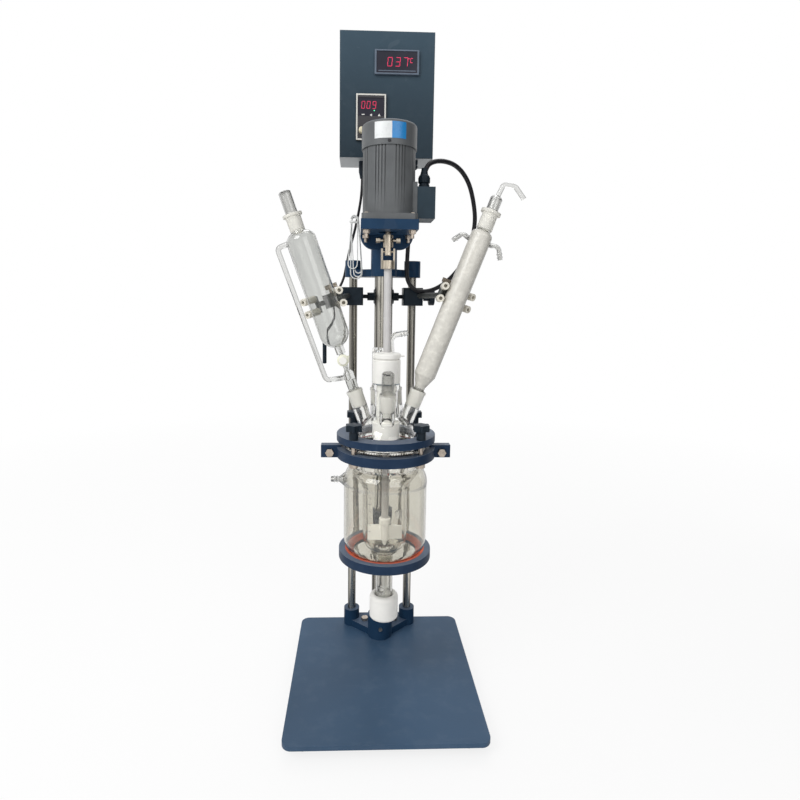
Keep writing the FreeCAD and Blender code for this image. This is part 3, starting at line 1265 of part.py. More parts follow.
leftSecondHole = cylinder(screwRadius + fit.runningGap, 34, (-76, 168, bossMiddle), ALONG_Y)
rightSecondHole = cylinder(screwRadius + fit.runningGap, 14, (72, 160, bossMiddle), ALONG_X)
node("boss_heads", together(boss_head(-1, outerLeft, "funnel", leftSecondHole),
                            boss_head(1, outerRight, "condenser", rightSecondHole)))


def thumb_screw(shank, hub, disk, knob_diameter):
    """A threaded shank with a hub and a disk, starting at the tip of the shank."""
    low = shank
    return turned([
        (0, 0), (screwRadius, 0), (screwRadius, low), (claw.screwHub / 2, low),
        (claw.screwHub / 2, low + hub), (knob_diameter / 2 - 1, low + hub),
        (knob_diameter / 2, low + hub + 1), (knob_diameter / 2, low + hub + disk - 1),
        (knob_diameter / 2 - 1, low + hub + disk), (0, low + hub + disk)], local=True)


railSide = rail.railX - rail.railDiameter / 2
innerFace = rail.railX - innerReach
TO_LEFT = Rotation(Vector(0, 1, 0), -90)
node("left_rail_screw", put(thumb_screw(railSide - 30.8, 12.8, 5, claw.screwDiameter),
                            (-railSide, rail.railY, bossMiddle), ALONG_X))
node("right_rail_screw", put(thumb_screw(railSide - 32.4, 10, 3.5, claw.screwDiameter),
                             (railSide, rail.railY, bossMiddle), TO_LEFT))
node("left_arm_screw", put(thumb_screw(as_size(31), 8, 6, as_size(25)), (-76, 171, bossMiddle),
                           ALONG_Y))
node("right_arm_screw", put(thumb_screw(as_size(3.6), 10, 11, as_size(33)), (76, 160, bossMiddle),
                            ALONG_X))


# ---------------------------------------------------------------- bolts, nuts and studs

def bolt(point, shank, length, head, head_tall, turn=UPRIGHT, nut_at=None):
    """A hexagon bolt whose head starts at the point and whose shank runs back from it."""
    axis = turn.multVec(Vector(0, 0, 1))
    x, y, z = (as_size(value) for value in point)
    back = [value - as_size(length) * round(part, 6) for value, part in zip((x, y, z), axis)]
    pieces = [cylinder(shank, length, back, turn), hexagon(head, head_tall, (x, y, z), turn)]
    return fused(*pieces)


def nut(point, across, tall, bore, turn=UPRIGHT):
    axis = turn.multVec(Vector(0, 0, 1))
    return cut(hexagon(across, tall, point, turn), cylinder(bore, as_size(tall) + 2, [
        as_size(value) - round(part, 6) for value, part in zip(point, axis)], turn))


FORWARD = Rotation(Vector(1, 0, 0), 90)
bolts = [bolt((x, boltY, cast.webThick), 4, cast.webThick + base.plateThick, base.boltHead,
              base.boltHeadTall) for x in (-boltX, boltX)]
bolts.append(cylinder(4, postFront - bossFront + 1.5, (0, bossFront - 1.5, grubUp), ALONG_Y))
for x in (-ring.earBoltX, ring.earBoltX):
    half = ring.earDepth / 2
    bolts.append(bolt((x, -half, earBoltUp), 4, ring.earDepth + 8, 13, 5.3, FORWARD))
    bolts.append(nut((x, half, earBoltUp), 13, 6.5, 4, ALONG_Y))
for x, y in studSpots:
    bolts.append(cylinder(ring.studDiameter / 2, coverTop + 16 - ring.clampLow + 7,
                          (x, y, ring.clampLow - 7)))
    bolts.append(nut((x, y, ring.clampLow - 6.5), 13, 6.5, 4))
for x, y in motorBolts:
    bolts.append(bolt((x, y, mountTop), 3, mountTop - bracketLow + 13, 8, 1.5))
    bolts.append(nut((x, y, bracketLow - 6), 10, 6, 3))
for x, y in boxBolts:
    bolts.append(fused(cylinder(2.5, 22, (x, y, rail.postTop)),
                       hexagon(8, 4, (x, y, rail.postTop - 3))))
    bolts.append(nut((x, y, case.caseLow + case.caseWall), 8, 4, 2.5))
node("fasteners", together(*bolts))


# ---------------------------------------------------------------- leads

def bend_radii(points):
    radii = []
    for before, corner, after in zip(points, points[1:], points[2:]):
        into, out = Vector(*corner) - Vector(*before), Vector(*after) - Vector(*corner)
        half = into.getAngle(out) / 2
        radii.append(0.45 * min(into.Length, out.Length) / math.tan(half))
    return radii


def lead(name, points, diameter):
    radii = bend_radii(points)
    solid = swept([tuple(world(*point)) for point in points], radii, diameter)
    length = route_wire(points, radii).Length
    section = math.pi * diameter ** 2 / 4
    print(f"{name}: bend radii {[round(r, 1) for r in radii]}, length {length:.0f},"
          f" volume over section times length {solid.Volume / (section * length):.4f}")
    return node(name, feature(solid, local=True))


cableRoute = [
    (58.5, 4, 887), (58.5, 4, 921), (86, 22, 936), (119, 47, 930), (144, 72, 903), (158, 92, 866),
    (160, 105, 832), (146, 118, 790), (133, 127, 750), (110, 137, 722), (88, 141, 709),
    (63, 140.5, 708.6), (45, 139, 726), (43.5, 136, 753), (45, 132, 797), (48, 125, 841),
    (50, 119, 889), (50, 118, 936)]
sensorRoute = [
    (-43, 130, 924), (-43, 130, 893), (-49, 141, 856), (-57, 160, 822), (-65, 184, 797),
    (-72, 205, 768), (-78, 209.5, 735), (-89, 204, 712), (-92.5, 186, 690), (-90, 166, 668),
    (-97, 154, 648), (-111.5, 150, 632), (-114.5, 149, 618), (-114.5, 149, 604)]
lead("motor_cable", cableRoute, motor.leadDiameter.number)
lead("sensor_lead", sensorRoute, 5)
plug = turned([(2.5, 0), (4, 0), (5, 6), (6.5, 12), (6.5, 31), (2.5, 31)],
              (-43, 130, case.caseLow - 31))
probe = turned([(0, -46), (2, -46, 2), (4, -44), (4, -4), (3, 0), (2.5, 0), (2.5, -8), (0, -8)],
               (-114.5, 149, 612))
node("cable_fittings", together(terminalGland, boxGland, plug))
node("lead_probe", probe)

hankWide, hankTall, hankThick = 27, 124, 6


def long_loop(width, thickness, low):
    """A plate with round ends that is as long as the hank, less what its width leaves."""
    straight = hankTall - hankWide
    ends = [cylinder(width / 2, thickness, (0, y, low), local=True)
            for y in (-straight / 2, straight / 2)]
    return fused(block(width, straight, thickness, (0, 0, low), local=True), *ends)


hank = cut(long_loop(hankWide, hankThick, 0), long_loop(hankWide - 11, hankThick + 2, -1))
node("spare_lead", put(hank, (-56, 141.6, 790), Rotation(Vector(1, 0, 0), 90)))


# ---------------------------------------------------------------- checks and export

doc.recompute()
for made in doc.Objects:
    if "Invalid" in made.State or "Error" in made.State:
        raise SystemExit(f"{made.Name} {made.Label} did not rebuild: {made.State}")
os.makedirs("parts", exist_ok=True)
for made in nodes:
    shape = made.Shape
    if shape.isNull() or not shape.isValid() or not shape.Solids:
        raise SystemExit(f"{made.Label} has no valid solid")
    shape.exportStep(f"parts/{made.Label}.step")
print(f"{len(nodes)} nodes written")
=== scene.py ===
# %% [markdown]
# A benchtop jacketed glass reactor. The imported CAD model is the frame: every solid with the
# right shape stays and gets a finish here, and the pieces with soft, printed or wound detail
# are modelled anew around it. All positions are metres in the frame of the CAD model.

# %% Load the frame
import json
import math

import bpy
from mathutils import Matrix, Vector


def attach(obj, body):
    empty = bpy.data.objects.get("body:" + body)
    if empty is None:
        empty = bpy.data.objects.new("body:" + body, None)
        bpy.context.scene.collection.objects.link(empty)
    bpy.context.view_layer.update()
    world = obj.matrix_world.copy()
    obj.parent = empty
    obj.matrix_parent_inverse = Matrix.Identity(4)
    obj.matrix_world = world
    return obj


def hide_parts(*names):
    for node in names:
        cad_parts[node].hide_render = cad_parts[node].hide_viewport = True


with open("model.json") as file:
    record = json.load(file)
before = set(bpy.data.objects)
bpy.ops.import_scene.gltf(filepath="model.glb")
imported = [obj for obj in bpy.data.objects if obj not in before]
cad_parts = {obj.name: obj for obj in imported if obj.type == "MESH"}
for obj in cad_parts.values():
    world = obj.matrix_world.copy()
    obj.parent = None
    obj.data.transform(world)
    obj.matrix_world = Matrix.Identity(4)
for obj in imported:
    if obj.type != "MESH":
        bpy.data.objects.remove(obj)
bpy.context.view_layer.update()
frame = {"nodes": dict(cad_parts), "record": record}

NODES = frame["nodes"]
bpy.ops.object.select_all(action="DESELECT")


# %% [markdown]
# Sizes here are measured from the vessel's own axis and from the top of the base plate, in
# millimetres. One helper turns such a point into the frame, and a few more write moves, turns
# and stretches shortly.

# %% Drawing points
MM = 0.001
VESSEL_AXIS = Vector((-0.021, -0.032, 0.028))


def at(x, y, z):
    """A drawing point, in millimetres from the vessel's axis and the deck, in the frame."""
    return Vector((x, y, z)) / 1000 + VESSEL_AXIS


def drawing_point(place):
    """A point of the frame back in drawing millimetres."""
    return (place - VESSEL_AXIS) / MM


def moved(x, y, z):
    """The move that takes the origin to a drawing point."""
    return Matrix.Translation(at(x, y, z))


def turned(degrees, axis):
    return Matrix.Rotation(math.radians(degrees), 4, axis)


def stretched(x, y, z):
    """The stretch of a shape one metre wide to a size in millimetres."""
    return Matrix.Diagonal((x * MM, y * MM, z * MM, 1))


print("vessel axis on the deck", tuple(VESSEL_AXIS))


# %% [markdown]
# A camera stands in front of the reactor at chest height and looks slightly down. Its lens is
# short, so the base plate opens towards the viewer. The three directions of the camera are
# worked out from its turn, its dip and its roll.

# %% Camera
EYE = at(-50.87, -946.63, 692.999)
TURN, DIP, ROLL = 0.0367, 0.1225, 0.0104
SENSOR, PICTURE, FOCUS, CENTRE = 36, 800, 557.82, (377.22, 367.77)
ahead = Vector((math.sin(TURN) * math.cos(DIP), math.cos(TURN) * math.cos(DIP), -math.sin(DIP)))
level = Vector((math.cos(TURN), -math.sin(TURN), 0))
upright = level.cross(ahead)
right = math.cos(ROLL) * level + math.sin(ROLL) * upright
up = -math.sin(ROLL) * level + math.cos(ROLL) * upright
camera_data = bpy.data.cameras.new("studio_camera")
camera_data.sensor_width = SENSOR
camera_data.lens = SENSOR * FOCUS / PICTURE
camera_data.shift_x = (PICTURE / 2 - CENTRE[0]) / PICTURE
camera_data.shift_y = (CENTRE[1] - PICTURE / 2) / PICTURE
camera_data.clip_start, camera_data.clip_end = 0.01, 50
camera = bpy.data.objects.new("studio_camera", camera_data)
bpy.context.collection.objects.link(camera)
turn = Matrix((right, up, -ahead)).transposed().to_4x4()
camera.matrix_world = Matrix.Translation(EYE) @ turn
bpy.context.scene.camera = camera
print("camera at", [round(v, 3) for v in EYE], "lens", round(camera_data.lens, 2))


# %% [markdown]
# The motor's cable and the sensor's lead hang free between two glands. Each could be a mesh
# tube, but a cord has one length and one section, so a NURBS line whose control points are
# the corners of its route gives the same smooth sag with far fewer numbers. The order and the
# end points are set after the points are there, because before that they have no effect. Each
# point carries the cord's radius, and the bevel depth of 1 leaves it as it is.

# %% Free cords
def hanging_line(name, points, diameter):
    """A smooth round cord along its route, given in drawing points."""
    curve = bpy.data.curves.new(name, "CURVE")
    curve.dimensions = "3D"
    spline = curve.splines.new("NURBS")
    spline.points.add(len(points) - 1)
    for point, place in zip(spline.points, points):
        point.co = (*at(*place), 1)
        point.radius = diameter / 2
    spline.order_u = 3
    spline.use_endpoint_u = True
    spline.resolution_u = 10
    curve.bevel_depth = 1
    curve.bevel_resolution = 5
    curve.use_fill_caps = True
    made = bpy.data.objects.new(name, curve)
    bpy.context.collection.objects.link(made)
    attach(made, "stand")
    return made


def free_cord(name, node, slot, route, diameter, length, **facts):
    """A line in place of a node's solid."""
    made = hanging_line(name, route, diameter)
    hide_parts(node)
    at(*route[0])
    return made


CABLE_ROUTE = [
    (58.5, 4, 887), (58.5, 4, 912), (84, 20, 926), (119, 47, 925), (146, 72, 903), (161, 92, 866),
    (167, 105, 832), (160, 118, 788), (141, 127, 748), (114, 137, 721), (89, 141, 709),
    (63, 140.5, 708.6), (45, 139, 726), (43.5, 136, 753), (45, 132, 797), (48, 125, 841),
    (50, 119, 889), (50, 118, 936)]
SENSOR_ROUTE = [
    (-43, 130, 924), (-43, 130, 893), (-49, 141, 856), (-57, 160, 822), (-65, 184, 797),
    (-72, 205, 768), (-78, 209.5, 735), (-89, 204, 712), (-92.5, 186, 690), (-90, 166, 668),
    (-97, 154, 648), (-111.5, 150, 632), (-114.5, 149, 618), (-114.5, 149, 604)]
motor_cable = free_cord("motor_cable_line", "motor_cable", "cable_black", CABLE_ROUTE, 0.008,
                        0.63, far_end="object", lay="hanging")
sensor_lead = free_cord("sensor_lead_line", "sensor_lead", "cable_black", SENSOR_ROUTE, 0.005,
                        0.37, far_end="connector", lay="hanging",
                        with_pieces=[NODES["lead_probe"]])
print("cords", motor_cable.name, sensor_lead.name)


# %% [markdown]
# Spare lead is folded into a flat hank that hangs beside the motor's bracket. The turns are of
# one length of lead, but they lie loosely: each has its own place, width and slack, so they fan
# out below the top. A soft band ties the top of the hank later.

# %% Hank of spare lead
# Each turn: x at the top, x at the foot, radius of the upper and the lower fold, top, foot.
HANK_TURNS = ((-57.5, -60, 6.3, 9.0, 850, 750), (-56, -50.5, 6.4, 7.6, 848, 735),
              (-57, -53, 6.8, 11.4, 846, 731), (-55.5, -49, 6.3, 6.8, 849, 742))
HANK_DIAMETER = 0.0021
HANK_FRONT, HANK_DEPTH = 136.9, 4.7
FOLD_STEP, LONG_RUN = 30, 40
CUT_CORNERS = 0.995    # what the smooth line is of the length of its route


def hank_points():
    """Long flat turns with round folds at the top and at the foot, one behind the other."""
    flat = []
    for top_x, foot_x, upper, lower, top, foot in HANK_TURNS:
        for x, z, radius, start in ((top_x, top - upper, upper, 180),
                                    (foot_x, foot + lower, lower, 0)):
            for step in range(7):
                angle = math.radians(start - FOLD_STEP * step)
                flat.append((x + radius * math.cos(angle), z + radius * math.sin(angle)))
    rows = []
    for here, after in zip(flat, flat[1:] + [None]):
        rows.append(here)
        if after and abs(here[1] - after[1]) > LONG_RUN:
            rows += [tuple(a + (b - a) * share for a, b in zip(here, after))
                     for share in (0.25, 0.5, 0.75)]
    return [(x, HANK_FRONT + HANK_DEPTH * count / len(rows), z)
            for count, (x, z) in enumerate(rows)]


HANK = hank_points()
HANK_LENGTH = sum((at(*a) - at(*b)).length for a, b in zip(HANK, HANK[1:]))
hank = free_cord("spare_lead_hank", "spare_lead", "lead_white", HANK, HANK_DIAMETER,
                 HANK_LENGTH * CUT_CORNERS, far_end="bare", lay="coiled")
print("hank", hank.name, "route", round(HANK_LENGTH, 3))


# %% [markdown]
# Materials and the studio are made of shader nodes. One helper adds a node and fills it in one
# line, so that a tree reads from its first node to its last.

# %% Node helpers
def new_tree(holder):
    """Empty the node tree of a material or world and hand it back."""
    holder.use_nodes = True
    holder.node_tree.nodes.clear()
    return holder.node_tree


def feed(tree, node, *by_order, **by_name):
    """Fill a node's inputs by order or by name. A name without an input is a property. A node,
    which stands for its first output, or an output is joined, and any other value is set."""
    filled = list(enumerate(by_order))
    for name, value in by_name.items():
        label = name.replace("_", " ")
        if label in node.inputs:
            filled.append((label, value))
        else:
            setattr(node, name, value)
    for label, value in filled:
        value = value.outputs[0] if isinstance(value, bpy.types.Node) else value
        if isinstance(value, bpy.types.NodeSocket):
            tree.links.new(value, node.inputs[label])
        else:
            node.inputs[label].default_value = value
    return node


def add(tree, kind, *by_order, **by_name):
    return feed(tree, tree.nodes.new("ShaderNode" + kind), *by_order, **by_name)


def math_node(tree, operation, *values):
    return add(tree, "Math", *values, operation=operation)


def object_place(tree):
    """Where a point lies on its own piece."""
    return add(tree, "TexCoord").outputs["Object"]


# %% [markdown]
# The studio is a pale floor, a white surround and three large soft lamps. The surround shows
# white to the camera, to reflections and through glass, but lights the object more gently. A
# dark card on the right, hidden from the camera, gives round pieces their darker right side.

# %% Surround and floor
world = bpy.data.worlds.new("studio_surround")
bpy.context.scene.world = world
tree = new_tree(world)
ways = add(tree, "LightPath").outputs
seen = math_node(tree, "MAXIMUM", ways["Is Camera Ray"], ways["Is Glossy Ray"])
seen_through = math_node(tree, "MAXIMUM", seen, ways["Is Transmission Ray"])
strength = add(tree, "MapRange", seen_through, To_Min=0.62, To_Max=1.0)
shade = add(tree, "Background", Color=(1, 1, 1, 1), Strength=strength)
add(tree, "OutputWorld", Surface=shade)

bpy.ops.mesh.primitive_circle_add(vertices=96, radius=4, fill_type="NGON", location=(0, 0, 0))
floor = bpy.context.object
floor.name = "studio_floor"
pale = bpy.data.materials.new("studio_floor_paint")
tree = new_tree(pale)
distance = add(tree, "VectorMath", object_place(tree), operation="LENGTH")
fade = add(tree, "MapRange", distance.outputs["Value"], From_Min=0.6, From_Max=2.6, To_Min=0.82,
           To_Max=1.0)
ways = add(tree, "LightPath").outputs
seen = math_node(tree, "MAXIMUM", ways["Is Camera Ray"], ways["Is Transmission Ray"])
matt = add(tree, "BsdfDiffuse", Color=(0.86, 0.86, 0.86, 1))
glow = add(tree, "Emission", Color=(1, 1, 1, 1), Strength=1.0)
add(tree, "OutputMaterial",
    Surface=add(tree, "MixShader", math_node(tree, "MULTIPLY", fade, seen), matt, glow))
floor.data.materials.append(pale)


# %% Lamps and card
def soft_lamp(name, place, target, size, power):
    """A square lamp that faces its target."""
    data = bpy.data.lights.new(name, "AREA")
    data.shape, data.size, data.energy = "SQUARE", size, power
    lamp = bpy.data.objects.new(name, data)
    bpy.context.collection.objects.link(lamp)
    lamp.location = place
    lamp.rotation_euler = (Vector(target) - Vector(place)).to_track_quat("-Z", "Y").to_euler()


soft_lamp("key_lamp", (-1.5, -1.6, 2.3), (0, 0, 0.6), 1.5, 40)
soft_lamp("fill_lamp", (0.9, -1.9, 1.5), (0, 0, 0.6), 1.2, 8)
soft_lamp("top_lamp", (0.2, 0.9, 2.6), (0, 0, 0.5), 1.6, 14)
bpy.context.scene.view_settings.view_transform = "Standard"
CARD_PLACE, CARD_SIZE = (1.35, -0.35, 1.0), (1.9, 1.8, 1, 1)
bpy.ops.mesh.primitive_plane_add(size=1)
card = bpy.context.object
card.name = "studio_card"
card.data.transform(Matrix.Translation(CARD_PLACE) @ turned(90, "Y") @ Matrix.Diagonal(CARD_SIZE))
dull = bpy.data.materials.new("studio_card_grey")
tree = new_tree(dull)
add(tree, "OutputMaterial", Surface=add(tree, "BsdfDiffuse", Color=(0.06, 0.06, 0.065, 1)))
card.data.materials.append(dull)
card.visible_camera = card.visible_transmission = card.visible_shadow = False
print("three lamps, a pale floor and a dark card on the right")


# %% [markdown]
# Several finishes share the same small effects, so each effect is a node group made once:
# cloudy variation of a colour, the fine dimples of sprayed paint, drawn lines, light dust with
# scratches, painted light that makes faces that look up paler, and a painted fade with height.
# A group puts out colours, values and heights only, and the shader itself stays in the material.

# %% Shared effects
WHITE = (1, 1, 1, 1)


def effect(name, given, made):
    """A shader node group with named sockets, what it is given and the node of what it makes."""
    group = bpy.data.node_groups.new(name, "ShaderNodeTree")
    for label, value in given.items():
        kind = {4: "Color", 3: "Vector"}[len(value)] if isinstance(value, tuple) else "Float"
        socket = group.interface.new_socket(label, in_out="INPUT", socket_type="NodeSocket" + kind)
        socket.default_value = value
    for label in made:
        kind = "Color" if label == "Color" else "Float"
        group.interface.new_socket(label, in_out="OUTPUT", socket_type="NodeSocket" + kind)
    return group, group.nodes.new("NodeGroupInput").outputs, group.nodes.new("NodeGroupOutput")


def varied(group, given, noise):
    """The given colour made lighter and darker by a noise, and the swing of that noise."""
    swing = add(group, "MapRange", noise, From_Min=0.3, From_Max=0.7, To_Min=-1.0, To_Max=1.0)
    amount = math_node(group, "MULTIPLY_ADD", swing, given["Amount"], 1.0)
    return add(group, "VectorMath", given["Color"], operation="SCALE", Scale=amount), swing


def covered(group, given, end, share):
    """The given colour with a second colour over a share of it: pale dust, and painted light on
    faces that look up.
    """
    amount = math_node(group, "MULTIPLY", share, given["Amount"])
    feed(group, end, Color=add(group, "MixRGB", amount, given["Color"], given["Dust"]))
    return group


def clouds_effect():
    """Broad, weak variation of a colour and of the roughness."""
    group, given, end = effect("clouds", {"Color": WHITE, "Amount": 0.1, "Scale": 20.0,
                                          "Roughness": 0.4, "Spread": 0.1}, ("Color", "Roughness"))
    noise = add(group, "TexNoise", Vector=object_place(group), Scale=given["Scale"], Detail=4.0)
    paint, swing = varied(group, given, noise)
    rough = math_node(group, "MULTIPLY_ADD", swing, given["Spread"], given["Roughness"])
    feed(group, end, Color=paint, Roughness=rough)
    return group


def peel_effect():
    """The fine dimples of sprayed or moulded surfaces, as a height."""
    group, given, end = effect("orange_peel", {"Scale": 900.0}, ("Height",))
    feed(group, end, Height=add(group, "TexNoise", Vector=object_place(group),
                                Scale=given["Scale"], Detail=2.0))
    return group


def drawn_effect():
    """Lines that run along one direction: noise stretched along it."""
    group, given, end = effect("drawn_lines", {"Along": (60.0, 60.0, 2500.0), "Color": WHITE,
                                               "Amount": 0.15}, ("Color", "Height"))
    stretch = add(group, "VectorMath", object_place(group), given["Along"], operation="MULTIPLY")
    lines = add(group, "TexNoise", Vector=stretch, Scale=1.0, Detail=3.0)
    feed(group, end, Color=varied(group, given, lines)[0], Height=lines)
    return group


def dust_effect():
    """Pale dust in soft patches with a few fine scratches over it."""
    group, given, end = effect("dust_and_scratches", {
        "Color": WHITE, "Dust": (0.5, 0.55, 0.6, 1), "Amount": 0.1, "Scale": 30.0}, ("Color",))
    where = object_place(group)
    patch = add(group, "TexNoise", Vector=where, Scale=given["Scale"], Detail=5.0, Roughness=0.65)
    soft = add(group, "MapRange", patch, From_Min=0.5, From_Max=0.75, To_Min=0.0, To_Max=0.5)
    fine = add(group, "VectorMath", where, (24, 420, 24), operation="MULTIPLY")
    lines = add(group, "TexNoise", Vector=fine, Scale=1.0, Detail=2.0, Distortion=0.6)
    thin = add(group, "MapRange", lines, From_Min=0.70, From_Max=0.73, To_Min=0.0, To_Max=0.8)
    return covered(group, given, end, math_node(group, "MAXIMUM", soft, thin))


def painted_top_light_effect():
    """Painted light: faces that look up are made paler, as light from above falls on them."""
    group, given, end = effect("top_light_painted", {
        "Color": WHITE, "Dust": (0.2, 0.21, 0.25, 1), "Amount": 0.5}, ("Color",))
    parts = add(group, "SeparateXYZ", add(group, "NewGeometry").outputs["Normal"])
    rise = add(group, "MapRange", parts.outputs["Z"], From_Min=0.55, From_Max=0.95)
    return covered(group, given, end, rise)


def fade_effect():
    """A colour that grows paler with height, as a tall plate does under a lamp."""
    group, given, end = effect("height_fade", {"Color": WHITE, "Low": 0.0, "High": 1.0,
                                               "Foot": 0.7, "Head": 1.3}, ("Color",))
    height = add(group, "SeparateXYZ", object_place(group)).outputs["Z"]
    scale = add(group, "MapRange", height, From_Min=given["Low"], From_Max=given["High"],
                To_Min=given["Foot"], To_Max=given["Head"])
    feed(group, end, Color=add(group, "VectorMath", given["Color"], operation="SCALE",
                               Scale=scale))
    return group


CLOUDS, PEEL, DRAWN, DUST = clouds_effect(), peel_effect(), drawn_effect(), dust_effect()
PAINTED_TOP_LIGHT, FADE = painted_top_light_effect(), fade_effect()
print("effects", [group.name for group in (CLOUDS, PEEL, DRAWN, DUST, PAINTED_TOP_LIGHT, FADE)])


# %% [markdown]
# Each finish is one material: a Principled shader whose colour and roughness come through the
# shared effects, with a bump from the fine height. Painted metal, rubber and plastic differ in
# their numbers, ground steel has drawn lines, and paint gathers a little dust. Some finishes
# carry painted light as well: faces that look up painted paler, a rim painted darker, and on
# the bars painted reflection streaks.

# %% Solid finishes
# The first colour is pale dust. The second is painted light, a paler blue for faces that look up.
LIGHT_DUST, TOP_LIGHT_TINT = (0.45, 0.5, 0.55, 1), (0.145, 0.18, 0.24, 1)


def laid(tree, group, **values):
    """One shared effect in a material."""
    return add(tree, "Group", node_tree=group, **values)


def solid_finish(name, color, roughness=0.4, amount=0.08, scale=14.0, spread=0.06, peel=900.0,
                 relief=0.15, metallic=0.0, along=None, line=0.2, dust=0.0, gloss=0.5,
                 top_light_amount=0.0, fade=None, rim=1.0):
    """A finish for paint, plastic, rubber or metal. The numbers after the colour are the
    roughness, how strong and how fine its clouds are, how far they move the roughness, and how
    fine and how deep the dimples are."""
    made = bpy.data.materials.new(name)
    tree = new_tree(made)
    cloud = laid(tree, CLOUDS, Color=(*color, 1), Amount=amount, Scale=scale,
                 Roughness=roughness, Spread=spread)
    tint = cloud
    if dust:
        tint = laid(tree, DUST, Color=tint, Dust=LIGHT_DUST, Amount=dust)
    if along:
        tint = laid(tree, DRAWN, Color=tint, Along=along, Amount=line)
        height = tint.outputs["Height"]
    else:
        height = laid(tree, PEEL, Scale=peel)
    # Painted light: faces that look up are made paler.
    if top_light_amount:
        tint = laid(tree, PAINTED_TOP_LIGHT, Color=tint, Dust=TOP_LIGHT_TINT, Amount=top_light_amount)
    if fade:
        low, high, foot, head = fade
        tint = laid(tree, FADE, Color=tint, Low=low, High=high, Foot=foot, Head=head)
    # Painted shade and highlight: the colour is made darker towards the outline, where a face
    # turns away from the eye, and a little paler where it faces the eye.
    if rim < 1:
        edge = add(tree, "LayerWeight", Blend=0.5).outputs["Facing"]
        dim = add(tree, "MapRange", edge, From_Min=0.25, From_Max=0.85, To_Min=1.15, To_Max=rim)
        tint = add(tree, "VectorMath", tint, operation="SCALE", Scale=dim)
    bump = add(tree, "Bump", Strength=relief, Distance=0.0004, Height=height)
    add(tree, "OutputMaterial", Surface=add(
        tree, "BsdfPrincipled", Base_Color=tint, Roughness=cloud.outputs["Roughness"],
        Normal=bump, Metallic=metallic, Specular_IOR_Level=gloss))
    return made


slate_coat = solid_finish("slate_powder_coat", (0.040, 0.080, 0.140), 0.42, 0.16, 3.5, 0.05, 1500,
                          0.2, dust=0.07, gloss=0.22)
# The dark blue enamels are painted paler on faces that look up: painted light.
deep_coat = solid_finish("deep_blue_enamel", (0.013, 0.039, 0.084), 0.36, 0.10, 25, 0.06, 900,
                         0.2, dust=0.02, gloss=0.1, top_light_amount=0.4)
ring_coat = solid_finish("ring_enamel", (0.014, 0.032, 0.068), 0.4, 0.10, 30, 0.06, 1200, 0.22,
                         dust=0.03, gloss=0.1, top_light_amount=0.7)
# Painted reflection: on the bars the drawn lines are strong light and dark streaks that stand for
# the studio mirrored in the steel, over real fine drawn lines.
bar_steel_painted_streaks = solid_finish("ground_bar_steel_painted_streaks", (0.34, 0.325, 0.29), 0.26, 0.06, 18, 0.05,
                            metallic=1, relief=0.08, along=(190, 190, 1.5), line=0.9, rim=0.25)
bolt_steel = solid_finish("plated_steel", (0.46, 0.40, 0.34), 0.3, 0.22, 140, 0.1, 1400, 0.2, 1)
joint_steel = solid_finish("machined_steel", (0.42, 0.37, 0.30), 0.3, 0.1, 60, 0.06, metallic=1,
                           relief=0.1, along=(900, 900, 60), line=0.3, rim=0.5)
# The motor's enamel is painted paler on faces that look up: painted light.
motor_coat = solid_finish("motor_grey_enamel", (0.098, 0.104, 0.108), 0.4, 0.1, 40, 0.06, 1300,
                          0.3, dust=0.05, gloss=0.3, top_light_amount=0.5)
dark_coat = solid_finish("terminal_box_enamel", (0.022, 0.037, 0.050), 0.42, 0.1, 50, 0.06, 1300,
                         0.3, dust=0.03, gloss=0.12)
case_coat = solid_finish("case_light_grey", (0.36, 0.38, 0.39), 0.45, 0.05, 10, 0.05, 1500, 0.25)
# Painted reflection: the panel is painted darker towards its foot and paler towards its top.
panel_coat = solid_finish("panel_slate", (0.032, 0.054, 0.074), 0.42, 0.12, 4, 0.06, 1500, 0.25,
                          dust=0.03, gloss=0.12, fade=(0.99, 1.19, 0.7, 1.35))
bezel_grey = solid_finish("bezel_blue_grey", (0.105, 0.135, 0.18), 0.4, 0.08, 60, 0.06, 1600, 0.15,
                          gloss=0.3)
window_dark = solid_finish("window_smoke", (0.024, 0.024, 0.036), 0.12, 0.1, 60, 0.03, 1600, 0.03,
                           gloss=0.2)
keypad_dark = solid_finish("keypad_dark_grey", (0.038, 0.037, 0.042), 0.4, 0.1, 60, 0.05, 1600,
                           0.15, gloss=0.3)
frame_silver = solid_finish("frame_pale_silver", (0.62, 0.61, 0.57), 0.35, 0.06, 80, 0.05, 1600,
                            0.1)
key_white = solid_finish("printed_white", (0.66, 0.66, 0.64), 0.4, 0.05, 90, 0.05, 1600, 0.05)
label_white = solid_finish("label_white_film", (0.68, 0.70, 0.70), 0.3, 0.06, 60, 0.05, 1600, 0.05)
label_blue = solid_finish("label_blue_film", (0.012, 0.20, 0.50), 0.3, 0.08, 60, 0.05, 1600, 0.05)
cream_cap = solid_finish("cream_moulding", (0.66, 0.60, 0.42), 0.4, 0.08, 90, 0.06, 1300, 0.15)
pale_key = solid_finish("pale_cream_moulding", (0.74, 0.74, 0.60), 0.38, 0.08, 90, 0.06, 1300,
                        0.12)
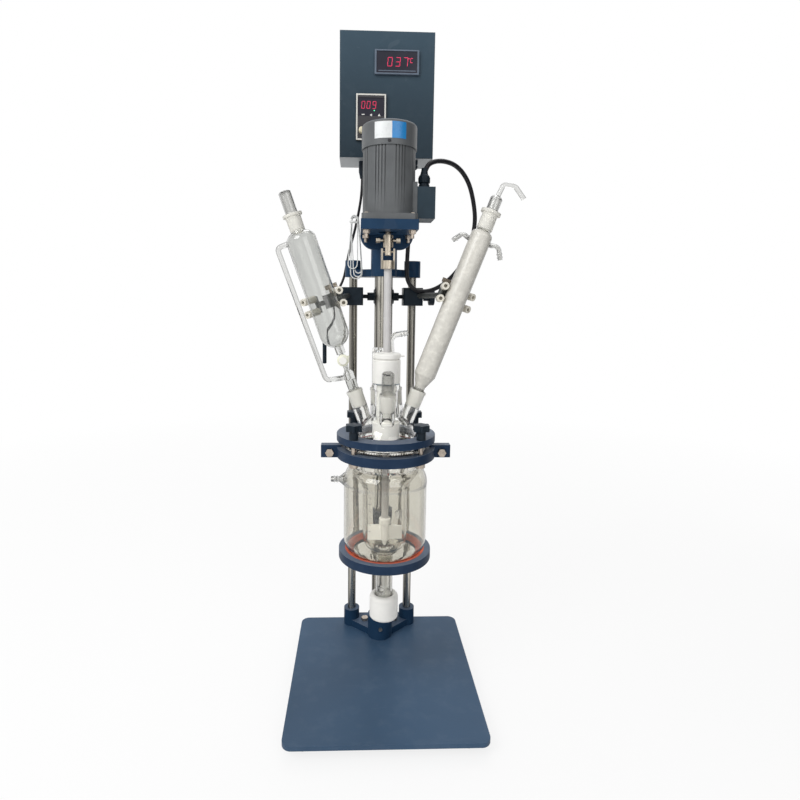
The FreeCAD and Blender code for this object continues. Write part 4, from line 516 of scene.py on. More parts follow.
# The black moulding is painted paler on faces that look up: painted light.
black_moulding = solid_finish("black_moulding", (0.008, 0.015, 0.023), 0.42, 0.2, 90, 0.1, 1400,
                              0.25, dust=0.03, gloss=0.15, top_light_amount=0.2)
black_rubber = solid_finish("black_rubber", (0.010, 0.010, 0.011), 0.6, 0.2, 60, 0.1, 900, 0.3,
                            gloss=0.2)
orange_seal, red_seal, slate_seal = (
    solid_finish(name, color, 0.5, 0.12, 60, 0.06, 700, 0.2) for name, color in (
        ("orange_silicone", (0.56, 0.10, 0.045)), ("red_silicone", (0.42, 0.035, 0.03)),
        ("slate_blue_washer", (0.05, 0.15, 0.22))))
white_fluoro = solid_finish("white_fluoroplastic", (0.82, 0.81, 0.775), 0.34, 0.04, 40, 0.05, 700,
                            0.1)
# Painted light: the paddle is the same white fluoroplastic, painted brighter to make up for the
# light it lacks inside the glass vessel.
fluoro_painted_brighter = solid_finish("fluoroplastic_painted_brighter", (0.94, 0.935, 0.91), 0.34, 0.03, 40, 0.05,
                             700, 0.1)
grey_shaft = solid_finish("grey_white_fluoroplastic", (0.53, 0.52, 0.515), 0.34, 0.05, 40, 0.05,
                          along=(300, 300, 4), line=0.06, relief=0.05)
cast_grey = solid_finish("cast_grey_iron", (0.085, 0.09, 0.087), 0.5, 0.35, 120, 0.1, 700, 0.6,
                         0.6)
cream_rubber = solid_finish("cream_rubber_sleeve", (0.66, 0.63, 0.55), 0.5, 0.1, 100, 0.06, 900,
                            0.25)
milky_glass = solid_finish("milk_white_glass", (0.535, 0.52, 0.475), 0.24, 0.10, 130, 0.06,
                           peel=420, relief=0.8, rim=0.74)
dark_steel = solid_finish("dark_screw_steel", (0.05, 0.05, 0.053), 0.3, 0.1, 60, 0.05, metallic=1)
jacket_black = solid_finish("cable_jacket", (0.012, 0.012, 0.015), 0.38, 0.15, 120, 0.08, 900, 0.2,
                            gloss=0.25)
jacket_white = solid_finish("white_lead_jacket", (0.70, 0.71, 0.70), 0.42, 0.06, 150, 0.06, 900,
                            0.15)
print("solid finishes", len(bpy.data.materials))


# %% [markdown]
# Clear glass is only visible through what it bends and through its edges, which look darker
# because the light runs a long way inside the wall there. That darker edge is painted shade: a
# Layer Weight drives a colour ramp from a clear middle to a grey rim, and shadow rays pass, so
# the glass throws no black shadow.
# Ground joints are the same glass with a rough, milky surface. A lit segment has its own
# colour, a little uneven, on a gloss surface.

# %% Glass and lit finishes
GLASS_SHADOW = (0.99, 0.99, 0.985, 1)


def glass_finish(name, middle, rim, start=0.35, roughness=0.02, wave=0.05, ripple=60.0,
                 transmission=1.0):
    made = bpy.data.materials.new(name)
    tree = new_tree(made)
    # Painted shade: the colour runs from the clear middle to a grey rim.
    ramp = add(tree, "ValToRGB", Fac=add(tree, "LayerWeight", Blend=0.5).outputs["Facing"])
    inner, outer = ramp.color_ramp.elements
    inner.position, inner.color = start, (*middle, 1)
    outer.position, outer.color = 0.97, (*rim, 1)
    bump = add(tree, "Bump", Strength=wave, Distance=0.001, Height=laid(tree, PEEL, Scale=ripple))
    shader = add(tree, "BsdfPrincipled", Base_Color=ramp, IOR=1.47, Roughness=roughness,
                 Normal=bump)
    shader.inputs["Transmission Weight"].default_value = transmission
    shadow = add(tree, "LightPath").outputs["Is Shadow Ray"]
    clear = add(tree, "BsdfTransparent", Color=GLASS_SHADOW)
    add(tree, "OutputMaterial", Surface=add(tree, "MixShader", shadow, shader, clear))
    return made


def glowing_finish(name, color, strength):
    made = bpy.data.materials.new(name)
    tree = new_tree(made)
    cloud = laid(tree, CLOUDS, Color=(*color, 1), Amount=0.15, Scale=300.0, Roughness=0.3,
                 Spread=0.05)
    add(tree, "OutputMaterial", Surface=add(
        tree, "BsdfPrincipled", Base_Color=cloud, Roughness=cloud.outputs["Roughness"],
        Emission_Color=cloud, Emission_Strength=strength))
    return made


# Painted shade: the jacket, the funnel's bulb and the thin tubes get a grey middle, darker than
# the pot's of the same glass, that stands for the greyer light seen through them.
jacket_glass = glass_finish("jacket_glass", (0.775, 0.76, 0.705), (0.40, 0.39, 0.36), 0.5)
pot_glass = glass_finish("pot_glass", (0.965, 0.96, 0.945), (0.42, 0.41, 0.385), 0.5)
bulb_glass = glass_finish("bulb_glass", (0.745, 0.75, 0.735), (0.40, 0.40, 0.39), 0.5)
tube_glass = glass_finish("tube_glass", (0.70, 0.70, 0.685), (0.12, 0.12, 0.115), 0.12)
clear_glass = glass_finish("blown_glass", (0.91, 0.91, 0.895), (0.50, 0.50, 0.49), 0.55)
ground_glass = glass_finish("ground_joint_glass", (0.76, 0.75, 0.705), (0.55, 0.54, 0.505), 0.4,
                            roughness=0.5, wave=0.3, ripple=900.0, transmission=0.3)
red_light = glowing_finish("red_segments", (0.60, 0.02, 0.085), 0.62)
green_light = glowing_finish("green_lamp", (0.10, 0.75, 0.35), 0.9)
print("finishes", len(bpy.data.materials))


# %% [markdown]
# Every CAD node gets its finish here, through one table. Bars, shafts and small turned pieces
# need nothing more, and the others are worked on after this by the width in their row.

# %% Dress the CAD nodes
# Finish, width of the rounded edges in millimetres, nodes. With no width, None, the solid stays
# as it is, and with 0 it is smoothed only.
PIECES = [
    (slate_coat, 0.8, "base_plate"),
    (deep_coat, 1.2, "base_casting crosshead"),
    (deep_coat, 0.9, "motor_bracket"),
    (deep_coat, 0.5, "box_bracket"),
    (ring_coat, 0.9, "lower_ring clamp_ring_front clamp_ring_rear cover_ring"),
    (bar_steel_painted_streaks, None, "uprights"),
    (joint_steel, 0.35, "coupling_lower coupling_upper"),
    (joint_steel, 0.3, "coupling_cross"),
    (joint_steel, None, "motor_shaft"),
    (bolt_steel, 0.3, "fasteners"),
    (bolt_steel, 0.5, "funnel_wing_screw condenser_wing_screw"),
    (motor_coat, 0.5, "motor_body fan_cover"),
    (case_coat, 0.35, "box_shell"),
    (panel_coat, 0.35, "front_panel"),
    (bezel_grey, 0.7, "temperature_meter"),
    (keypad_dark, 0.4, "speed_controller"),
    (cream_cap, None, "speed_dial"),
    (black_moulding, 0.9, "boss_heads"),
    (black_moulding, 0.8, "left_arm_screw right_arm_screw"),
    (black_moulding, 0.8, "lid_knob_1 lid_knob_2 lid_knob_3 lid_knob_4"),
    (black_moulding, 0.7, "left_rail_screw right_rail_screw"),
    (black_moulding, 0.4, "cable_fittings"),
    (black_moulding, None, "lead_probe"),
    (black_rubber, 0.8, "rubber_feet"),
    (slate_seal, 0, "seals"),
    (white_fluoro, 0.6, "drain_knob"),
    (white_fluoro, 0.5, "seal_housing seal_cap"),
    (white_fluoro, None, "drain_stem seal_nut"),
    (fluoro_painted_brighter, 0.4, "paddle"),
    (grey_shaft, None, "stirrer_shaft"),
    (pale_key, 0.4, "stopcock_key"),
    (cast_grey, 0.5, "funnel_claw funnel_claw_jaw condenser_claw condenser_claw_jaw"),
    (jacket_glass, 0, "jacketed_vessel"),
    (clear_glass, 0, "glass_lid thermowell elbow_adaptor"),
    (tube_glass, 0, "condenser_outlet hollow_stoppers"),
    (bulb_glass, 0, "funnel"),
    (milky_glass, 0, "condenser")]
FINISH_OF = {name: finish for finish, width, names in PIECES for name in names.split()}


def dress(obj, finish):
    obj.data.materials.clear()
    obj.data.materials.append(finish)


for name, finish in FINISH_OF.items():
    dress(NODES[name], finish)
dress(motor_cable, jacket_black)
dress(sensor_lead, jacket_black)
dress(hank, jacket_white)
print("dressed", len(FINISH_OF), "of", len(NODES))


# %% [markdown]
# Edges on real castings, plates and mouldings are never sharp: paint and tools round them, and
# the round edge is what catches the light. The CAD edges are sharp, so each of these nodes is
# copied, its triangles are joined into one skin, flat areas are dissolved into single faces,
# and a Bevel modifier rounds every edge sharper than a limit. The copy rides on the same body.
# Glass and seals keep their triangles, because long joined faces would break up what is seen
# through them.

# %% Working on a piece
BODY_OF = {node: body for body, nodes in frame["record"]["behaviour"]["bodies"].items()
           for node in nodes}


def only(piece):
    """Select one piece alone and make it the active one."""
    bpy.ops.object.select_all(action="DESELECT")
    piece.select_set(True)
    bpy.context.view_layer.objects.active = piece


def edit(piece):
    """Open one piece for editing with all of it selected."""
    only(piece)
    bpy.ops.object.mode_set(mode="EDIT")
    bpy.ops.mesh.select_all(action="SELECT")


def leave():
    bpy.ops.object.mode_set(mode="OBJECT")


def pick(piece, kind, rule):
    """Open a piece for editing with only the corners or faces that pass a rule selected."""
    only(piece)
    faces = kind == "FACE"
    bpy.context.tool_settings.mesh_select_mode = (not faces, False, faces)
    mesh = piece.data
    for item in (*mesh.vertices, *mesh.edges, *mesh.polygons):
        item.select = False
    chosen = 0
    for item in mesh.polygons if faces else mesh.vertices:
        item.select = rule(item.center if faces else item.co)
        chosen += item.select
    bpy.ops.object.mode_set(mode="EDIT")
    return chosen


def soften(piece, width, sharper_than=35, segments=2):
    """Round the sharp edges of a piece and smooth it, with large faces leading the normals."""
    only(piece)
    if width:
        bevel = piece.modifiers.new("rounded_edges", "BEVEL")
        bevel.width, bevel.segments = width * MM, segments
        bevel.limit_method, bevel.angle_limit = "ANGLE", math.radians(sharper_than)
        bpy.ops.object.modifier_apply(modifier=bevel.name)
    bpy.ops.object.shade_smooth_by_angle(angle=math.radians(30))
    even = piece.modifiers.new("even_normals", "WEIGHTED_NORMAL")
    even.mode, even.weight, even.keep_sharp = "FACE_AREA", 100, True
    bpy.ops.object.modifier_apply(modifier=even.name)


def skin_of(name, flatten):
    """A copy of a CAD node as one joined skin, standing in for the node."""
    piece = bpy.data.objects.new(name + "_skin", NODES[name].data.copy())
    bpy.context.collection.objects.link(piece)
    edit(piece)
    bpy.ops.mesh.remove_doubles(threshold=1e-6)
    if flatten:
        bpy.ops.mesh.dissolve_limited(angle_limit=math.radians(0.5))
    leave()
    dress(piece, FINISH_OF[name])
    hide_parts(name)
    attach(piece, BODY_OF[name])
    return piece


def paint_faces(piece, finish, rule):
    """Give the faces whose middle passes the rule another finish."""
    piece.data.materials.append(finish)
    index = len(piece.data.materials) - 1
    chosen = [face for face in piece.data.polygons if rule(drawing_point(face.center))]
    for face in chosen:
        face.material_index = index
    return len(chosen)


# %% [markdown]
# The apron under the motor's bracket is cut to a round at its two lower corners. The solid has
# straight cuts there, so each cut face is divided into narrow strips, and the corners of the
# strips are pushed out to the quarter circle that touches both edges.

# %% Rounded apron
STRIPS = 12


def round_apron(piece):
    """Turn the two straight cut corners of the bracket's apron into quarter circles."""
    slope = math.cos(math.radians(45))
    for side in (-1, 1):
        cut = [face for face in piece.data.polygons
               if abs(face.normal.x * side - slope) < 0.02 and abs(face.normal.z + slope) < 0.02]
        middles = {tuple(face.center) for face in cut}
        corners = [drawing_point(piece.data.vertices[i].co) for f in cut for i in f.vertices]
        inner, outer = (end(abs(c.x) for c in corners) for end in (min, max))
        top = max(c.z for c in corners)
        pick(piece, "FACE", lambda p: tuple(p) in middles)
        bpy.ops.mesh.subdivide(number_cuts=STRIPS - 1)
        leave()
        for corner in piece.data.vertices:
            if corner.select:
                spot = drawing_point(corner.co)
                run = Vector((abs(spot.x) - inner, 0, spot.z - top))
                if run.length:
                    run *= (outer - inner) / run.length
                corner.co = at(side * (inner + run.x), spot.y, top + run.z)
        print("apron corner", side, round(inner, 1), round(outer, 1), round(top, 1))


# %% Rounded edges
SKINS = {}
for finish, width, names in PIECES:
    for name in names.split() if width is not None else ():
        SKINS[name] = skin_of(name, width > 0)
        if name == "motor_bracket":
            round_apron(SKINS[name])
        soften(SKINS[name], width)
print("skins", len(SKINS), "faces", sum(len(piece.data.polygons) for piece in SKINS.values()))


# %% [markdown]
# Some nodes join two materials: the motor carries a dark terminal box, the seals are an orange
# gasket, a red band and a blue washer, and the claws wear cream rubber sleeves. The skin is one
# mesh, so its faces are sorted by where they lie, and each group gets its own finish.

# %% Two finishes on one piece
NECK_X, NECK_UP = 55.6, 538
LEFT_TILT, RIGHT_TILT = 19.5, 21
LEFT_NECK = moved(-NECK_X, 0, NECK_UP) @ turned(-LEFT_TILT, "Y")
RIGHT_NECK = moved(NECK_X, 0, NECK_UP) @ turned(RIGHT_TILT, "Y")
FRONT_NECK = moved(0, -42, 537) @ turned(12, "X")
WELL_NECK = moved(-13, 36.5, 537) @ turned(-3.5, "X")
ELBOW_NECK = moved(15.5, 36, 537) @ turned(-4.5, "Y")


def along_neck(neck, point):
    """How far a drawing point is from a neck's axis and how high it is above the rim, in mm."""
    local = neck.inverted() @ at(*point) / MM
    return math.hypot(local.x, local.y), local.z


def window(x, z, half_wide, half_tall):
    """A rule for the faces of an instrument's window, a little behind its frame."""
    return lambda p: 95.3 < p.y < 97 and abs(p.x - x) < half_wide and abs(p.z - z) < half_tall


TERMINAL_BOX_FROM, CUSHION_BELOW, BAND_FROM, BAND_TO = 45.2, 300, 400, 500
paint_faces(SKINS["motor_body"], dark_coat, lambda p: p.x > TERMINAL_BOX_FROM)
paint_faces(SKINS["seals"], orange_seal, lambda p: p.z < CUSHION_BELOW)
paint_faces(SKINS["seals"], red_seal, lambda p: BAND_FROM < p.z < BAND_TO)
paint_faces(SKINS["temperature_meter"], window_dark, window(16.8, 1109, 36.1, 18.1))
paint_faces(SKINS["speed_controller"], window_dark, window(-28.4, 1032.5, 23.1, 15.5))


# %% Sleeves of the claws
CLAW_TURN, SPLAY = 16.5, math.radians(20)
ARM_ROOT, SLEEVE_LENGTH, SLEEVE_RADIUS, SLEEVE_RISE = 17, 30.3, 6.5, 11


def claw_place(side, tilt, up):
    """The frame of a claw: X across the glass, Y back to the stand, Z along the glass."""
    lean = math.radians(tilt)
    return (moved(side * (NECK_X + math.sin(lean) * up), 0, NECK_UP + math.cos(lean) * up)
            @ turned(side * tilt, "Y") @ turned(side * CLAW_TURN, "Z"))


def on_a_sleeve(place, glass_radius):
    """A rule that finds the rubber sleeves of a claw round glass of that radius."""
    reach, inverse = glass_radius + 6.4, place.inverted()

    def rule(point):
        local = inverse @ at(*point) / MM
        for hand in (-1, 1):
            root = Vector((hand * (reach * math.cos(SPLAY) - ARM_ROOT * math.sin(SPLAY)),
                           reach * math.sin(SPLAY) + ARM_ROOT * math.cos(SPLAY), 0))
            way = Vector((hand * math.sin(SPLAY), -math.cos(SPLAY), 0))
            for level in (-SLEEVE_RISE, SLEEVE_RISE):
                gap = local - root - Vector((0, 0, level))
                run = gap.dot(way)
                if -0.3 < run < SLEEVE_LENGTH and (gap - run * way).length < SLEEVE_RADIUS:
                    return True
        return False
    return rule


for name, side, tilt, up, radius in (("funnel", -1, LEFT_TILT, 157, 25.3),
                                     ("condenser", 1, RIGHT_TILT, 170, 18.4)):
    rule = on_a_sleeve(claw_place(side, tilt, up), radius)
    for piece in (SKINS[name + "_claw"], SKINS[name + "_claw_jaw"]):
        print(piece.name, "sleeve faces", paint_faces(piece, cream_rubber, rule))


# %% [markdown]
# The key of the stopcock is a disc with a short wing, turned from fluoroplastic. The wing of the
# solid is longer, so its outer corners are drawn in towards the disc's middle, and the face of
# the disc is whiter than its rim.

# %% Stopcock key
KEY_SPOT = drawing_point(LEFT_NECK @ Vector((0, 0, 55.5 * MM)))
WING_FROM, WING_SHARE, KEY_FACE = 10.4, 0.6, 6.6


def key_radius(point):
    return math.hypot(point.x - KEY_SPOT.x, point.z - KEY_SPOT.z)


print("wing corners", pick(SKINS["stopcock_key"], "VERT",
                           lambda p: key_radius(drawing_point(p)) > WING_FROM))
bpy.ops.transform.resize(value=(WING_SHARE, 1, WING_SHARE), center_override=at(*KEY_SPOT))
leave()
print("key face", paint_faces(SKINS["stopcock_key"], white_fluoro,
                              lambda p: key_radius(p) < KEY_FACE and p.y < -8))


# %% [markdown]
# A ground joint is a cone that was ground rough so that it seals, and it looks milky beside the
# clear glass. The lid's five sockets, the cones in them and the two upper sockets get the
# ground finish.

# %% Ground joints
# From and to, in millimetres above a neck's rim: the cone in the lid, the funnel's upper socket
# and the condenser's. The walls of all the cones lie between the two radii.
LOW_CONE, FUNNEL_CONE, OUTLET_CONE = (-29.5, -0.3), (281, 309.8), (294, 323.2)
CONE_INNER, CONE_OUTER = 9.8, 12.35


def ground_cone(neck, low, high):
    def rule(point):
        radius, height = along_neck(neck, point)
        return low < height < high and CONE_INNER < radius < CONE_OUTER
    return rule


for name, necks in (("glass_lid", (LEFT_NECK, RIGHT_NECK, FRONT_NECK, WELL_NECK, ELBOW_NECK)),
                    ("hollow_stoppers", (FRONT_NECK,)), ("thermowell", (WELL_NECK,)),
                    ("elbow_adaptor", (ELBOW_NECK,)), ("funnel", (LEFT_NECK,)),
                    ("condenser", (RIGHT_NECK,))):
    for neck in necks:
        paint_faces(SKINS[name], ground_glass, ground_cone(neck, *LOW_CONE))
for name, neck, cone in (("funnel", LEFT_NECK, FUNNEL_CONE),
                         ("hollow_stoppers", LEFT_NECK, FUNNEL_CONE),
                         ("condenser_outlet", RIGHT_NECK, OUTLET_CONE)):
    paint_faces(SKINS[name], ground_glass, ground_cone(neck, *cone))


# %% [markdown]
# The larger glass pieces are blown from more than one tube. The condenser's shell ends below its
# socket, the funnel carries a thin side arm beside its bulb, and in the vessel the pot stands
# inside the jacket, with the ports at its sides and the drain below.

# %% Parts of the glass pieces
SHELL_LOW, SHELL_TOP, SHELL_RADIUS, SOCKET_LOW = 5, 288.5, 18.6, 291
BULB_TOP, BULB_RADIUS = 283, 26
POT_RADIUS, POT_FOOT, JACKET_RADIUS, DRAIN_TOP = 60, 262, 72.8, 205


def clear_part(point):
    radius, height = along_neck(RIGHT_NECK, point)
    return not SHELL_LOW <= height <= SHELL_TOP or radius > SHELL_RADIUS


def ground_socket(point):
    radius, height = along_neck(RIGHT_NECK, point)
    return (height > SOCKET_LOW and radius > CONE_INNER
            or ground_cone(RIGHT_NECK, *LOW_CONE)(point))


def side_arm(point):
    radius, height = along_neck(LEFT_NECK, point)
    return radius > BULB_RADIUS and height < BULB_TOP


def pot(point):
    return math.hypot(point.x, point.y) < POT_RADIUS and point.z > POT_FOOT


def ports_and_drain(point):
    return math.hypot(point.x, point.y) > JACKET_RADIUS or point.z < DRAIN_TOP


for name, finish, rule in (
        ("condenser", tube_glass, clear_part), ("condenser", ground_glass, ground_socket),
        ("funnel", ground_glass, lambda p: along_neck(LEFT_NECK, p)[1] > BULB_TOP),
        ("funnel", tube_glass, side_arm), ("jacketed_vessel", pot_glass, pot),
        ("jacketed_vessel", tube_glass, ports_and_drain)):
    print(name, finish.name, paint_faces(SKINS[name], finish, rule))


# %% [markdown]
# Rings, washers and screws are turned shapes. A circle with as many corners as the outline is
# laid into the outline, and the spin operator turns it round the axis. The doubles where the
# spin closes are merged and the normals are made to point outwards.

# %% Turned pieces
def named(name, place=None):
    """The piece that the last operator made, under its name, with its place in its mesh."""
    piece = bpy.context.object
    piece.name = name
    if place is not None:
        piece.data.transform(place)
    return piece


def turned_piece(name, outline, steps=48):
    """Spin an outline of (radius, height) corners in millimetres round the Z axis."""
    bpy.ops.mesh.primitive_circle_add(vertices=len(outline), radius=MM)
    piece = named(name)
    for corner, (radius, height) in zip(piece.data.vertices, outline):
        corner.co = (radius * MM, 0, height * MM)
    edit(piece)
    bpy.ops.mesh.spin(steps=steps, angle=2 * math.pi, center=(0, 0, 0), axis=(0, 0, 1))
    bpy.ops.mesh.select_all(action="SELECT")
    bpy.ops.mesh.remove_doubles(threshold=1e-6)
    bpy.ops.mesh.delete_loose()
    bpy.ops.mesh.select_all(action="SELECT")
    bpy.ops.mesh.normals_make_consistent(inside=False)
    leave()
    return piece


def settle(piece, finish, place=None, body="stand"):
    """Bring a new piece to its place, which goes into its mesh, and say what it belongs to."""
    if place is not None:
        piece.data.transform(place)
    only(piece)
    bpy.ops.object.shade_smooth_by_angle(angle=math.radians(30))
    dress(piece, finish)
    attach(piece, body)
    return piece


def gathered(name, pieces):
    """Join pieces into one."""
    bpy.ops.object.select_all(action="DESELECT")
    for piece in pieces:
        piece.select_set(True)
    bpy.context.view_layer.objects.active = pieces[0]
    bpy.ops.object.join()
    pieces[0].name = name
    return pieces[0]


def repeated(name, first, moves):
    """A piece and its copies, each copy with its own mesh, joined into one."""
    pieces = [first]
    for move in moves:
        copy = bpy.data.objects.new(first.name, first.data.copy())
        copy.data.transform(move)
        bpy.context.collection.objects.link(copy)
        pieces.append(copy)
    return gathered(name, pieces)


# %% Seal ring, tie and cable relief
RING_CORNERS, SEAT_RING = 10, (7.6, 2.0)


def ring_outline(radius, thickness):
    half = thickness / 2
    angles = [2 * math.pi * k / RING_CORNERS for k in range(RING_CORNERS)]
    return [(radius + half * math.cos(angle), half * math.sin(angle)) for angle in angles]


tie = turned_piece("hank_tie", [(8.4, -1.6), (9.2, -1.6), (9.4, 0), (9.2, 1.6), (8.4, 1.6)], 40)
tie.data.transform(Matrix.Diagonal((1, 0.5, 1, 1)))
settle(tie, jacket_white, moved(-57, 139.2, 838))
stem_ring = turned_piece("drain_seat_ring", ring_outline(*SEAT_RING), 40)
settle(stem_ring, red_seal, moved(0, 0, 243.9), body="drain_stem")
peg = turned_piece("gas_peg", [(0, -2), (1.5, -2), (1.5, 4.2), (1.1, 4.6), (1.1, 6.6), (0.6, 6.6),
                               (0.6, 5.0), (0, 5.0)], 24)
settle(peg, white_fluoro, moved(23.9, -2, 597) @ turned(90, "Y"))
relief = turned_piece("cable_relief", [(4.02, 0), (6.6, 0), (6.5, 2), (5.9, 2.6), (5.9, 4.6),
                                       (5.3, 5.2), (5.3, 7.2), (4.8, 7.8), (4.5, 11),
                                       (4.02, 11)], 32)
settle(relief, black_moulding, moved(58.5, 4, 897))


# %% [markdown]
# The fan cover is held by a small screw in its front. Its head is turned, two cuts mark out the
# slot across it, and the strip between them is pushed down.

# %% Cover screw
HALF_SLOT, SLOT_DEPTH = 0.00035, 0.0005
cover_screw = turned_piece("cover_screw", [(0, 0), (2.6, 0), (2.6, 0.7), (2.1, 1.1), (0, 1.1)], 24)
edit(cover_screw)
for side in (1, -1):
    bpy.ops.mesh.select_all(action="SELECT")
    bpy.ops.mesh.bisect(plane_co=(0, side * HALF_SLOT, 0), plane_no=(0, 1, 0))
leave()
print("slot faces", pick(cover_screw, "FACE", lambda p: abs(p.y) < HALF_SLOT and p.z > 0.0008))
bpy.ops.mesh.extrude_region_move(TRANSFORM_OT_translate={"value": (0, 0, -SLOT_DEPTH)})
leave()
settle(cover_screw, dark_steel,
       moved(-2.4, -44.85, 938) @ turned(-3, "Z") @ turned(90, "X") @ turned(35, "Z"))


# %% [markdown]
# The motor's casing is an extruded tube with narrow grooves in four groups. A cylinder with a
# corner every half degree is laid over the plain core, and the corners that lie in a groove are
# drawn in towards the axis.

# %% Motor casing
GROOVES, HALF_GROOVE = (11.2, 18.2, 25.4, 32.2), 1.1
CASING_LOW, CASING_HIGH, CASING_RADIUS = 828.4, 933.0, 43
CORE_SHARE, GROOVE_SHARE, CASING_MIDDLE = 0.93, 0.955, at(0, 0, 870)


def in_a_groove(corner):
    """True for a corner of the casing that lies in one of the grooves."""
    spot = drawing_point(corner)
    turn = abs((math.degrees(math.atan2(spot.y, spot.x)) + 45) % 90 - 45)
    return any(abs(turn - groove) < HALF_GROOVE for groove in GROOVES)


def on_the_core(corner):
    """True for a corner of the plain round core of the motor."""
    spot = drawing_point(corner)
    return math.hypot(spot.x, spot.y) < CASING_RADIUS + 0.2 and spot.z > CASING_LOW + 0.3


def drawn_in(piece, rule, share):
    """Draw the corners that pass a rule in towards the motor's axis."""
    count = pick(piece, "VERT", rule)
    bpy.ops.transform.resize(value=(share, share, 1), center_override=CASING_MIDDLE)
    leave()
    return count


print("core corners", drawn_in(SKINS["motor_body"], on_the_core, CORE_SHARE))
bpy.ops.mesh.primitive_cylinder_add(vertices=720, radius=CASING_RADIUS * MM,
                                    depth=(CASING_HIGH - CASING_LOW) * MM)
casing = named("motor_casing", moved(0, 0, (CASING_LOW + CASING_HIGH) / 2))
print("groove corners", drawn_in(casing, in_a_groove, GROOVE_SHARE))
settle(casing, motor_coat)


# %% [markdown]
# The display digits are lit bars. A bar is a flat six-sided prism whose pointed ends are pulled
# apart to its length, and each segment of a digit is one such bar, turned and moved to its
# place. The digits lean a little, as they do on such displays.

# %% Display digits
SEGMENTS = {"a": (0, 1, True), "b": (1, 0.5, False), "c": (1, -0.5, False), "d": (0, -1, True),
            "e": (-1, -0.5, False), "f": (-1, 0.5, False), "g": (0, 0, True)}
DIGITS = {"0": "abcdef", "3": "abcdg", "7": "abc", "9": "abcdfg", "C": "adef", "o": "abfg"}
BAR_DEPTH, LEAN, END_GAP = 0.3, 0.10, 0.25


def lit_bar(length, width):
    """One upright bar of a digit, at the origin."""
    bpy.ops.mesh.primitive_cylinder_add(vertices=6, radius=width / 2 * MM, depth=BAR_DEPTH * MM)
    bar = bpy.context.object
    for end in (-1, 1):
        pick(bar, "VERT", lambda p: p.y * end > width * 0.05 * MM)
        bpy.ops.transform.translate(value=(0, end * (length - width) / 2 * MM, 0))
        leave()
    bar.data.transform(turned(90, "X"))
    return bar


def display(name, marks, width, y=96.0):
    """Lit digits from (mark, x, z, half width, half height) in drawing millimetres."""
    pieces = []
    for mark, x, z, half_wide, half_tall in marks:
        for letter in DIGITS[mark]:
            across, rise, level = SEGMENTS[letter]
            bar = lit_bar((half_wide * 2 if level else half_tall) - width * END_GAP, width)
            if level:
                bar.data.transform(turned(90, "Y"))
            lean = LEAN * rise * half_tall
            bar.data.transform(moved(x + across * half_wide + lean, y, z + rise * half_tall))
            pieces.append(bar)
    return settle(gathered(name, pieces), red_light)


METER_DIGIT, SPEED_DIGIT = (1109.4, 3.7, 7.2), (1035.9, 2.7, 5.9)
meter_digits = display("meter_digits", [
    ("0", 4.4, *METER_DIGIT), ("3", 18.6, *METER_DIGIT), ("7", 32.0, *METER_DIGIT),
    ("o", 37.9, 1114.6, 0.9, 0.9), ("C", 42.9, 1112.2, 2.1, 3.6)], 1.1)
speed_digits = display("speed_digits", [
    ("0", -42.3, *SPEED_DIGIT), ("0", -32.9, *SPEED_DIGIT), ("9", -22.6, *SPEED_DIGIT)], 0.95)
print("digits", len(meter_digits.data.polygons), len(speed_digits.data.polygons))


# %% [markdown]
# The controller has a pale frame line round its face, a row of printed keys, a small green lamp
# and a fluted dial. The frame is a slab whose front and back are inset and whose middle is
# bridged through, and each key is a flat prism or slab.

# %% Controller face
def slab(name, x, z, width, tall, y_front, y_back):
    """A block with its place in its mesh."""
    bpy.ops.mesh.primitive_cube_add(size=1)
    return named(name, moved(x, (y_front + y_back) / 2, z)
                 @ stretched(width, y_back - y_front, tall))


def face_frame(name, x, z, width, tall, line, y_front, y_back):
    """A slab with a window cut through it that leaves a frame of one line's width."""
    piece = slab(name, x, z, width, tall, y_front, y_back)
    middle = at(x, (y_front + y_back) / 2, z)
    reach = (y_back - y_front) * 0.4 * MM
    pick(piece, "FACE", lambda p: abs(p.y - middle.y) > reach)
    bpy.ops.mesh.inset(thickness=line * MM)
    bpy.ops.mesh.bridge_edge_loops()
    leave()
    return piece


def fluted_cap(name, x, z, radius, deep, y_back):
    """A turned cap with flutes for the fingers, pointing to the front."""
    piece = turned_piece(name, [(0, 0), (radius, 0), (radius, deep - 1.5),
                                (radius - 0.5, deep - 0.4), (radius - 1.3, deep), (0, deep)], 40)
    for corner in piece.data.vertices:
        turn = math.atan2(corner.co.y, corner.co.x)
        if math.hypot(corner.co.x, corner.co.y) > (radius - 0.1) * MM:
            corner.co.xy *= 1 - FLUTE_DEPTH * (1 + math.cos(FLUTES * turn)) / 2
    piece.data.transform(moved(x, y_back, z) @ turned(90, "X"))
    return piece


def printed_key(name, x, z, size, sides, turn, y=94.95):
    """A flat prism with rounded edges on the controller's face."""
    bpy.ops.mesh.primitive_cylinder_add(vertices=sides, radius=size / 2 * MM, depth=0.4 * MM)
    piece = named(name, moved(x, y, z) @ turned(90, "X") @ turned(turn, "Z"))
    soften(piece, 0.1)
    return piece


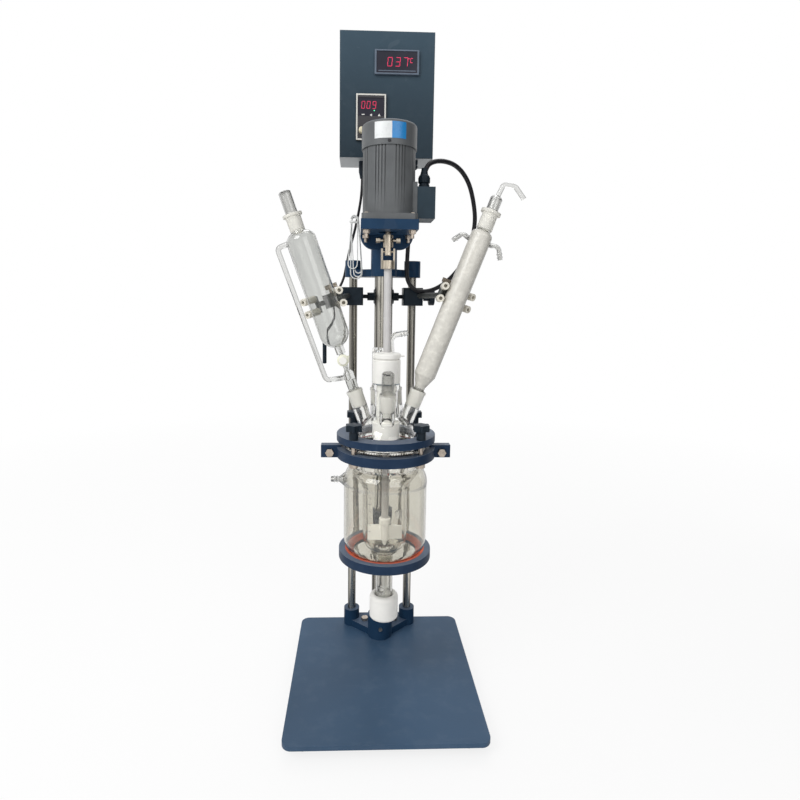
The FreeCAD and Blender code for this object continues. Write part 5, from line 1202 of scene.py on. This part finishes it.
FLUTES, FLUTE_DEPTH = 20, 0.05
speed_frame = face_frame("speed_frame", -28.4, 1015, 53, 79, 2.5, 94.5, 95.1)
soften(speed_frame, 0.2)
settle(speed_frame, frame_silver)
meter_line = slab("meter_underline", 17.2, 1094.6, 66, 1.6, 95.9, 96.3)
soften(meter_line, 0.25)
settle(meter_line, bezel_grey)
dial = fluted_cap("speed_dial_cap", -45, 991, 5.2, 10.6, 94.8)
settle(dial, cream_cap, body="speed_dial")
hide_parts("speed_dial")
keys = [printed_key("key", -28.0, 1018.6, 5.6, 3, 90),
        printed_key("key", -13.9, 1018.2, 5.6, 3, 0),
        slab("key", -42.5, 1019.2, 5.2, 1.7, 94.75, 95.15)]
settle(gathered("speed_keys", keys), key_white)
lamp = printed_key("speed_lamp", -22.6, 1026.6, 2.6, 4, 45, 96.15)
settle(lamp, green_light)
print("controller", speed_frame.name, dial.name, lamp.name)


# %% [markdown]
# The plate on the fan cover is a film, white on the left and blue on the right, that follows the
# round cover. A tube just wider than the cover is cut down to the film's angle, and a Solidify
# modifier gives the film its thickness. It is left blank.

# %% Film on the fan cover
FILM_FROM, FILM_BLUE, FILM_TO = -35, 2, 33


def round_the_front(point):
    """The angle of a point round the motor, from its front to the right, in degrees."""
    return math.degrees(math.atan2(point.x, -point.y))


bpy.ops.mesh.primitive_cylinder_add(vertices=180, radius=45.05 * MM, depth=25 * MM,
                                    end_fill_type="NOTHING")
film = named("cover_film")
pick(film, "FACE", lambda p: not FILM_FROM < round_the_front(p) < FILM_TO)
bpy.ops.mesh.delete(type="FACE")
leave()
thick = film.modifiers.new("film_thickness", "SOLIDIFY")
thick.thickness, thick.offset = 0.25 * MM, 1.0
bpy.ops.object.modifier_apply(modifier=thick.name)
settle(film, label_white, moved(0, 0, 954.5))
paint_faces(film, label_blue, lambda p: round_the_front(p) > FILM_BLUE)
print("film faces", len(film.data.polygons))


# %% [markdown]
# Printed level marks stand on the front of the inner vessel. One mark is a short curved bar, and
# the others are copies of it, one above the other. A few ribs round the gland's domed nut give
# the fingers a grip, and they are copies of one rib as well.

# %% Level marks and gland ribs
MARKS, MARK_STEP, RIBS = 7, 12, 14
GLAND = (58.5, 4, 888.4)


def bar_on_round(name, width, deep, tall, radius, turn, centre):
    """A rounded bar that stands on a round surface, turned away from the front by an angle."""
    bpy.ops.mesh.primitive_cube_add(size=1)
    piece = named(name, moved(*centre) @ turned(turn, "Z")
                  @ Matrix.Translation((0, -(radius + deep / 2) * MM, 0))
                  @ stretched(width, deep, tall))
    edit(piece)
    bpy.ops.mesh.bevel(offset=min(deep, tall, width) * 0.3 * MM, segments=2)
    leave()
    return piece


mark = bar_on_round("mark", 5.0, 0.3, 0.7, 38.95, -44, (0, 0, 296))
marks = repeated("level_marks", mark, [Matrix.Translation((0, 0, step * MARK_STEP * MM))
                                       for step in range(1, MARKS)])
settle(marks, keypad_dark)
rib = bar_on_round("rib", 1.6, 0.9, 8.5, 9.0, 0, GLAND)
ribs = repeated("gland_ribs", rib, [moved(*GLAND) @ turned(360 * step / RIBS, "Z")
                                    @ moved(*GLAND).inverted() for step in range(1, RIBS)])
settle(ribs, black_moulding)
print("faces of marks and ribs", len(marks.data.polygons), len(ribs.data.polygons))


# %% [markdown]
# Last, nothing is left selected.

# %% Finish
bpy.ops.object.select_all(action="DESELECT")
